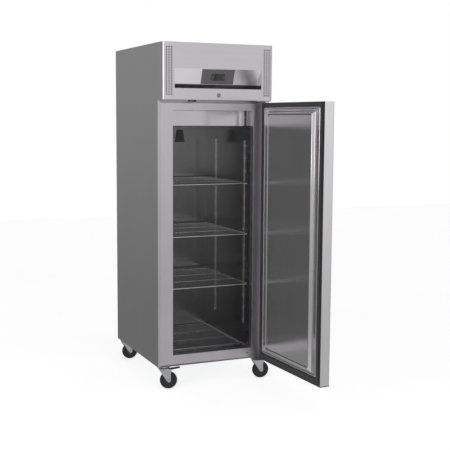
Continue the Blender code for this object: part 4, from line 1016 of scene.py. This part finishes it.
def make_display():
    """The window of the controller, with two digits and a degree mark."""
    place = slope_place()
    low, high = box_in("temperature_controller", place)
    face = high.z
    middle_x, middle_y = (low.x + high.x) / 2, (low.y + high.y) / 2
    loop = rect_loop(-WINDOW_HALF_WIDE, WINDOW_HALF_WIDE, -WINDOW_HALF_TALL, WINDOW_HALF_TALL, 0.0, 0.0025, 4)
    rows = []
    for inset, rise in ((0.0, -0.0002), (0.0, 0.0003), (0.0005, 0.0005)):
        scale = 1 - inset / WINDOW_HALF_TALL
        rows.append([(middle_x + p.x * scale, middle_y + p.z * scale, face + rise) for p in loop])
    bm = bmesh.new()
    add_loft(bm, rows)
    make_piece("controller_window", bm, window_film, "cabinet", (), place)
    bm = bmesh.new()
    level = face + 0.00055
    for shift, bars in ((-0.0085, "abged"), (0.0050, "fgbc")):
        for bar in bars:
            across, down, upright = DIGIT_BARS[bar]
            x = middle_x + shift + across * (DIGIT_WIDE / 2 + 0.0005)
            length = DIGIT_TALL - 0.001 if upright else DIGIT_WIDE
            add_segment(bm, (x, middle_y + down * DIGIT_TALL, level), length, BAR_WIDTH, upright)
    degree = ((0.0006, 0), (0.0012, 0), (0.0012, 0.0001), (0.0006, 0.0001))
    add_turned(bm, degree, (middle_x + 0.0145, middle_y - DIGIT_TALL, level), (0, 0, 1), 16)
    make_piece("controller_digits", bm, digit_film, "cabinet", (), place)


# ---------------- studio
CAMERA_LENS = 73.435
CAMERA_PLACE = (-2.1114, -5.3711, 1.4554)
CAMERA_YAW = radians(23.761)
CAMERA_PITCH = radians(6.581)
CAMERA_ROLL = radians(0.348)
WALL_STRENGTH = 3.4
# Brightness of the surroundings as (share, level): from behind to the front, and from below to above.
AROUND_LEVELS = ((0.0, 0.18), (0.25, 0.19), (0.45, 0.25), (0.62, 0.32), (0.85, 0.33), (0.97, 0.34), (1.0, 0.50))
HEIGHT_LEVELS = (
    (0.0, 0.06), (0.05, 0.08), (0.12, 0.90), (0.22, 1.0), (0.30, 0.62), (0.37, 0.26), (0.45, 0.42), (0.53, 0.58),
    (0.62, 0.53), (0.75, 0.32), (1.0, 0.22),
)


def ramp(tree, value, stops):
    node = add_node(tree, "ShaderNodeValToRGB", {"Fac": value})
    elements = node.color_ramp.elements
    while len(elements) < len(stops):
        elements.new(0.5)
    for element, (place, level) in zip(elements, stops):
        element.position = place
        element.color = (level, level, level, 1.0)
    return node.outputs["Color"]


def light_studio():
    """Soft light from pale surroundings, brightest in front and low down. The backdrop itself is white."""
    scene = bpy.context.scene
    scene.view_settings.view_transform = "Standard"
    world = bpy.data.worlds.new("studio")
    scene.world = world
    world.use_nodes = True
    tree = world.node_tree
    tree.nodes.clear()
    direction = add_node(tree, "ShaderNodeTexCoord").outputs["Generated"]
    facing = add_node(tree, "ShaderNodeVectorMath", {0: direction, 1: (0.5, -0.866, 0.0)}, operation="DOT_PRODUCT")
    parts = add_node(tree, "ShaderNodeSeparateXYZ", {0: direction})
    around = ramp(tree, spread(tree, facing.outputs["Value"], -1.0, 1.0), AROUND_LEVELS)
    level = ramp(tree, spread(tree, parts.outputs["Z"], -1.0, 1.0), HEIGHT_LEVELS)
    color = mix_colors(tree, 1.0, around, level, blend_type="MULTIPLY")
    soft = add_node(tree, "ShaderNodeBackground", {"Color": color, "Strength": WALL_STRENGTH})
    white = add_node(tree, "ShaderNodeBackground", {"Color": (1.0, 1.0, 1.0)})
    seen = add_node(tree, "ShaderNodeLightPath").outputs["Is Camera Ray"]
    choice = add_node(tree, "ShaderNodeMixShader", {0: seen, 1: soft.outputs[0], 2: white.outputs[0]})
    add_node(tree, "ShaderNodeOutputWorld", {"Surface": choice.outputs[0]})


def hang_softbox(name, place, aim, size, power):
    """A broad soft lamp that is seen only in reflections."""
    data = bpy.data.lights.new(name, "AREA")
    data.shape = "RECTANGLE"
    data.size, data.size_y = size
    data.energy = power
    lamp = put_in_scene(name, data)
    lamp.location = place
    lamp.rotation_euler = (Vector(aim) - Vector(place)).to_track_quat("-Z", "Y").to_euler()
    lamp.visible_camera = False


def lay_floor():
    """A pale floor that runs into the backdrop."""
    level = cad_bounds[0][2]
    reach = 9.0
    corners = [(x * reach, y * reach, level) for x, y in ((-1, -1), (1, -1), (1, 1), (-1, 1))]
    mesh = bpy.data.meshes.new("floor")
    mesh.from_pydata(corners, [], [(0, 1, 2, 3)])
    floor = put_in_scene("floor", mesh)
    material, tree, shader = start_material("pale_floor", Roughness=0.9, Emission_Strength=0.85)
    place = object_place(tree)
    color = mix_colors(tree, noise(tree, place, 1.5), (0.84, 0.84, 0.84), (0.88, 0.88, 0.88))
    tree.links.new(color, shader.inputs["Base Color"])
    tree.links.new(color, shader.inputs["Emission Color"])
    mesh.materials.append(material)
    floor.visible_glossy = False
    floor.visible_diffuse = False


def set_camera():
    data = bpy.data.cameras.new("camera")
    data.lens = CAMERA_LENS
    data.sensor_width = 36.0
    camera = put_in_scene("camera", data)
    level = Matrix.Rotation(-CAMERA_YAW, 4, "Z") @ Matrix.Rotation(pi / 2 - CAMERA_PITCH, 4, "X")
    camera.matrix_world = Matrix.Translation(CAMERA_PLACE) @ level @ Matrix.Rotation(CAMERA_ROLL, 4, "Z")
    bpy.context.scene.camera = camera


# ---------------- assembly
set_camera()
light_studio()
hang_softbox("front_softbox", (-0.55, -4.6, 1.75), (0.0, 0.0, 1.5), (3.0, 2.2), 10.0)
hang_softbox("left_softbox", (-3.0, -2.1, 1.75), (0.3, -0.8, 1.2), (1.3, 1.5), 14.0)
lay_floor()
finish_cad_nodes()
for shelf in ("wire_shelf_1", "wire_shelf_2", "wire_shelf_3", "bottom_rack"):
    make_wire_shelf(shelf)
for make in (make_door_gasket, make_door_liner, make_grip_liner, make_hinge_screws):
    make()
for corner in CORNERS:
    make_castor_wheel(corner)
    make_castor_hardware(corner)
make_lock_details()
make_coil("condenser_coil", "cabinet", 56, 9, 2, black_paint)
make_coil("evaporator_coil", "cabinet", 48, 4, 6, copper)
make_compressor()
make_fan("condenser_fan_blade", "condenser_fan", (0, 1, 0), 5, 0.0895, 0.024)
make_fan("evaporator_fan_blade", "evaporator_fan", (0, 0, 1), 5, 0.0735, 0.020)
for make in (make_pipe, make_box_lid, make_louvre_hoods, make_back_screws, make_cover_screws, make_post_screws,
             make_frame_plug, make_vent_shade_strips, make_display):
    make()
round_cad_edges(0.0006, *(f"castor_{part}_{corner}" for part in ("plate", "fork") for corner in CORNERS))
round_cad_edges(0.0006, "brake_pedal_front_left", "brake_pedal_front_right", "electrical_box")
round_cad_edges(0.0004, "top_hinge_bracket", "bottom_hinge_bracket", "temperature_probe_guard", "control_bezel")
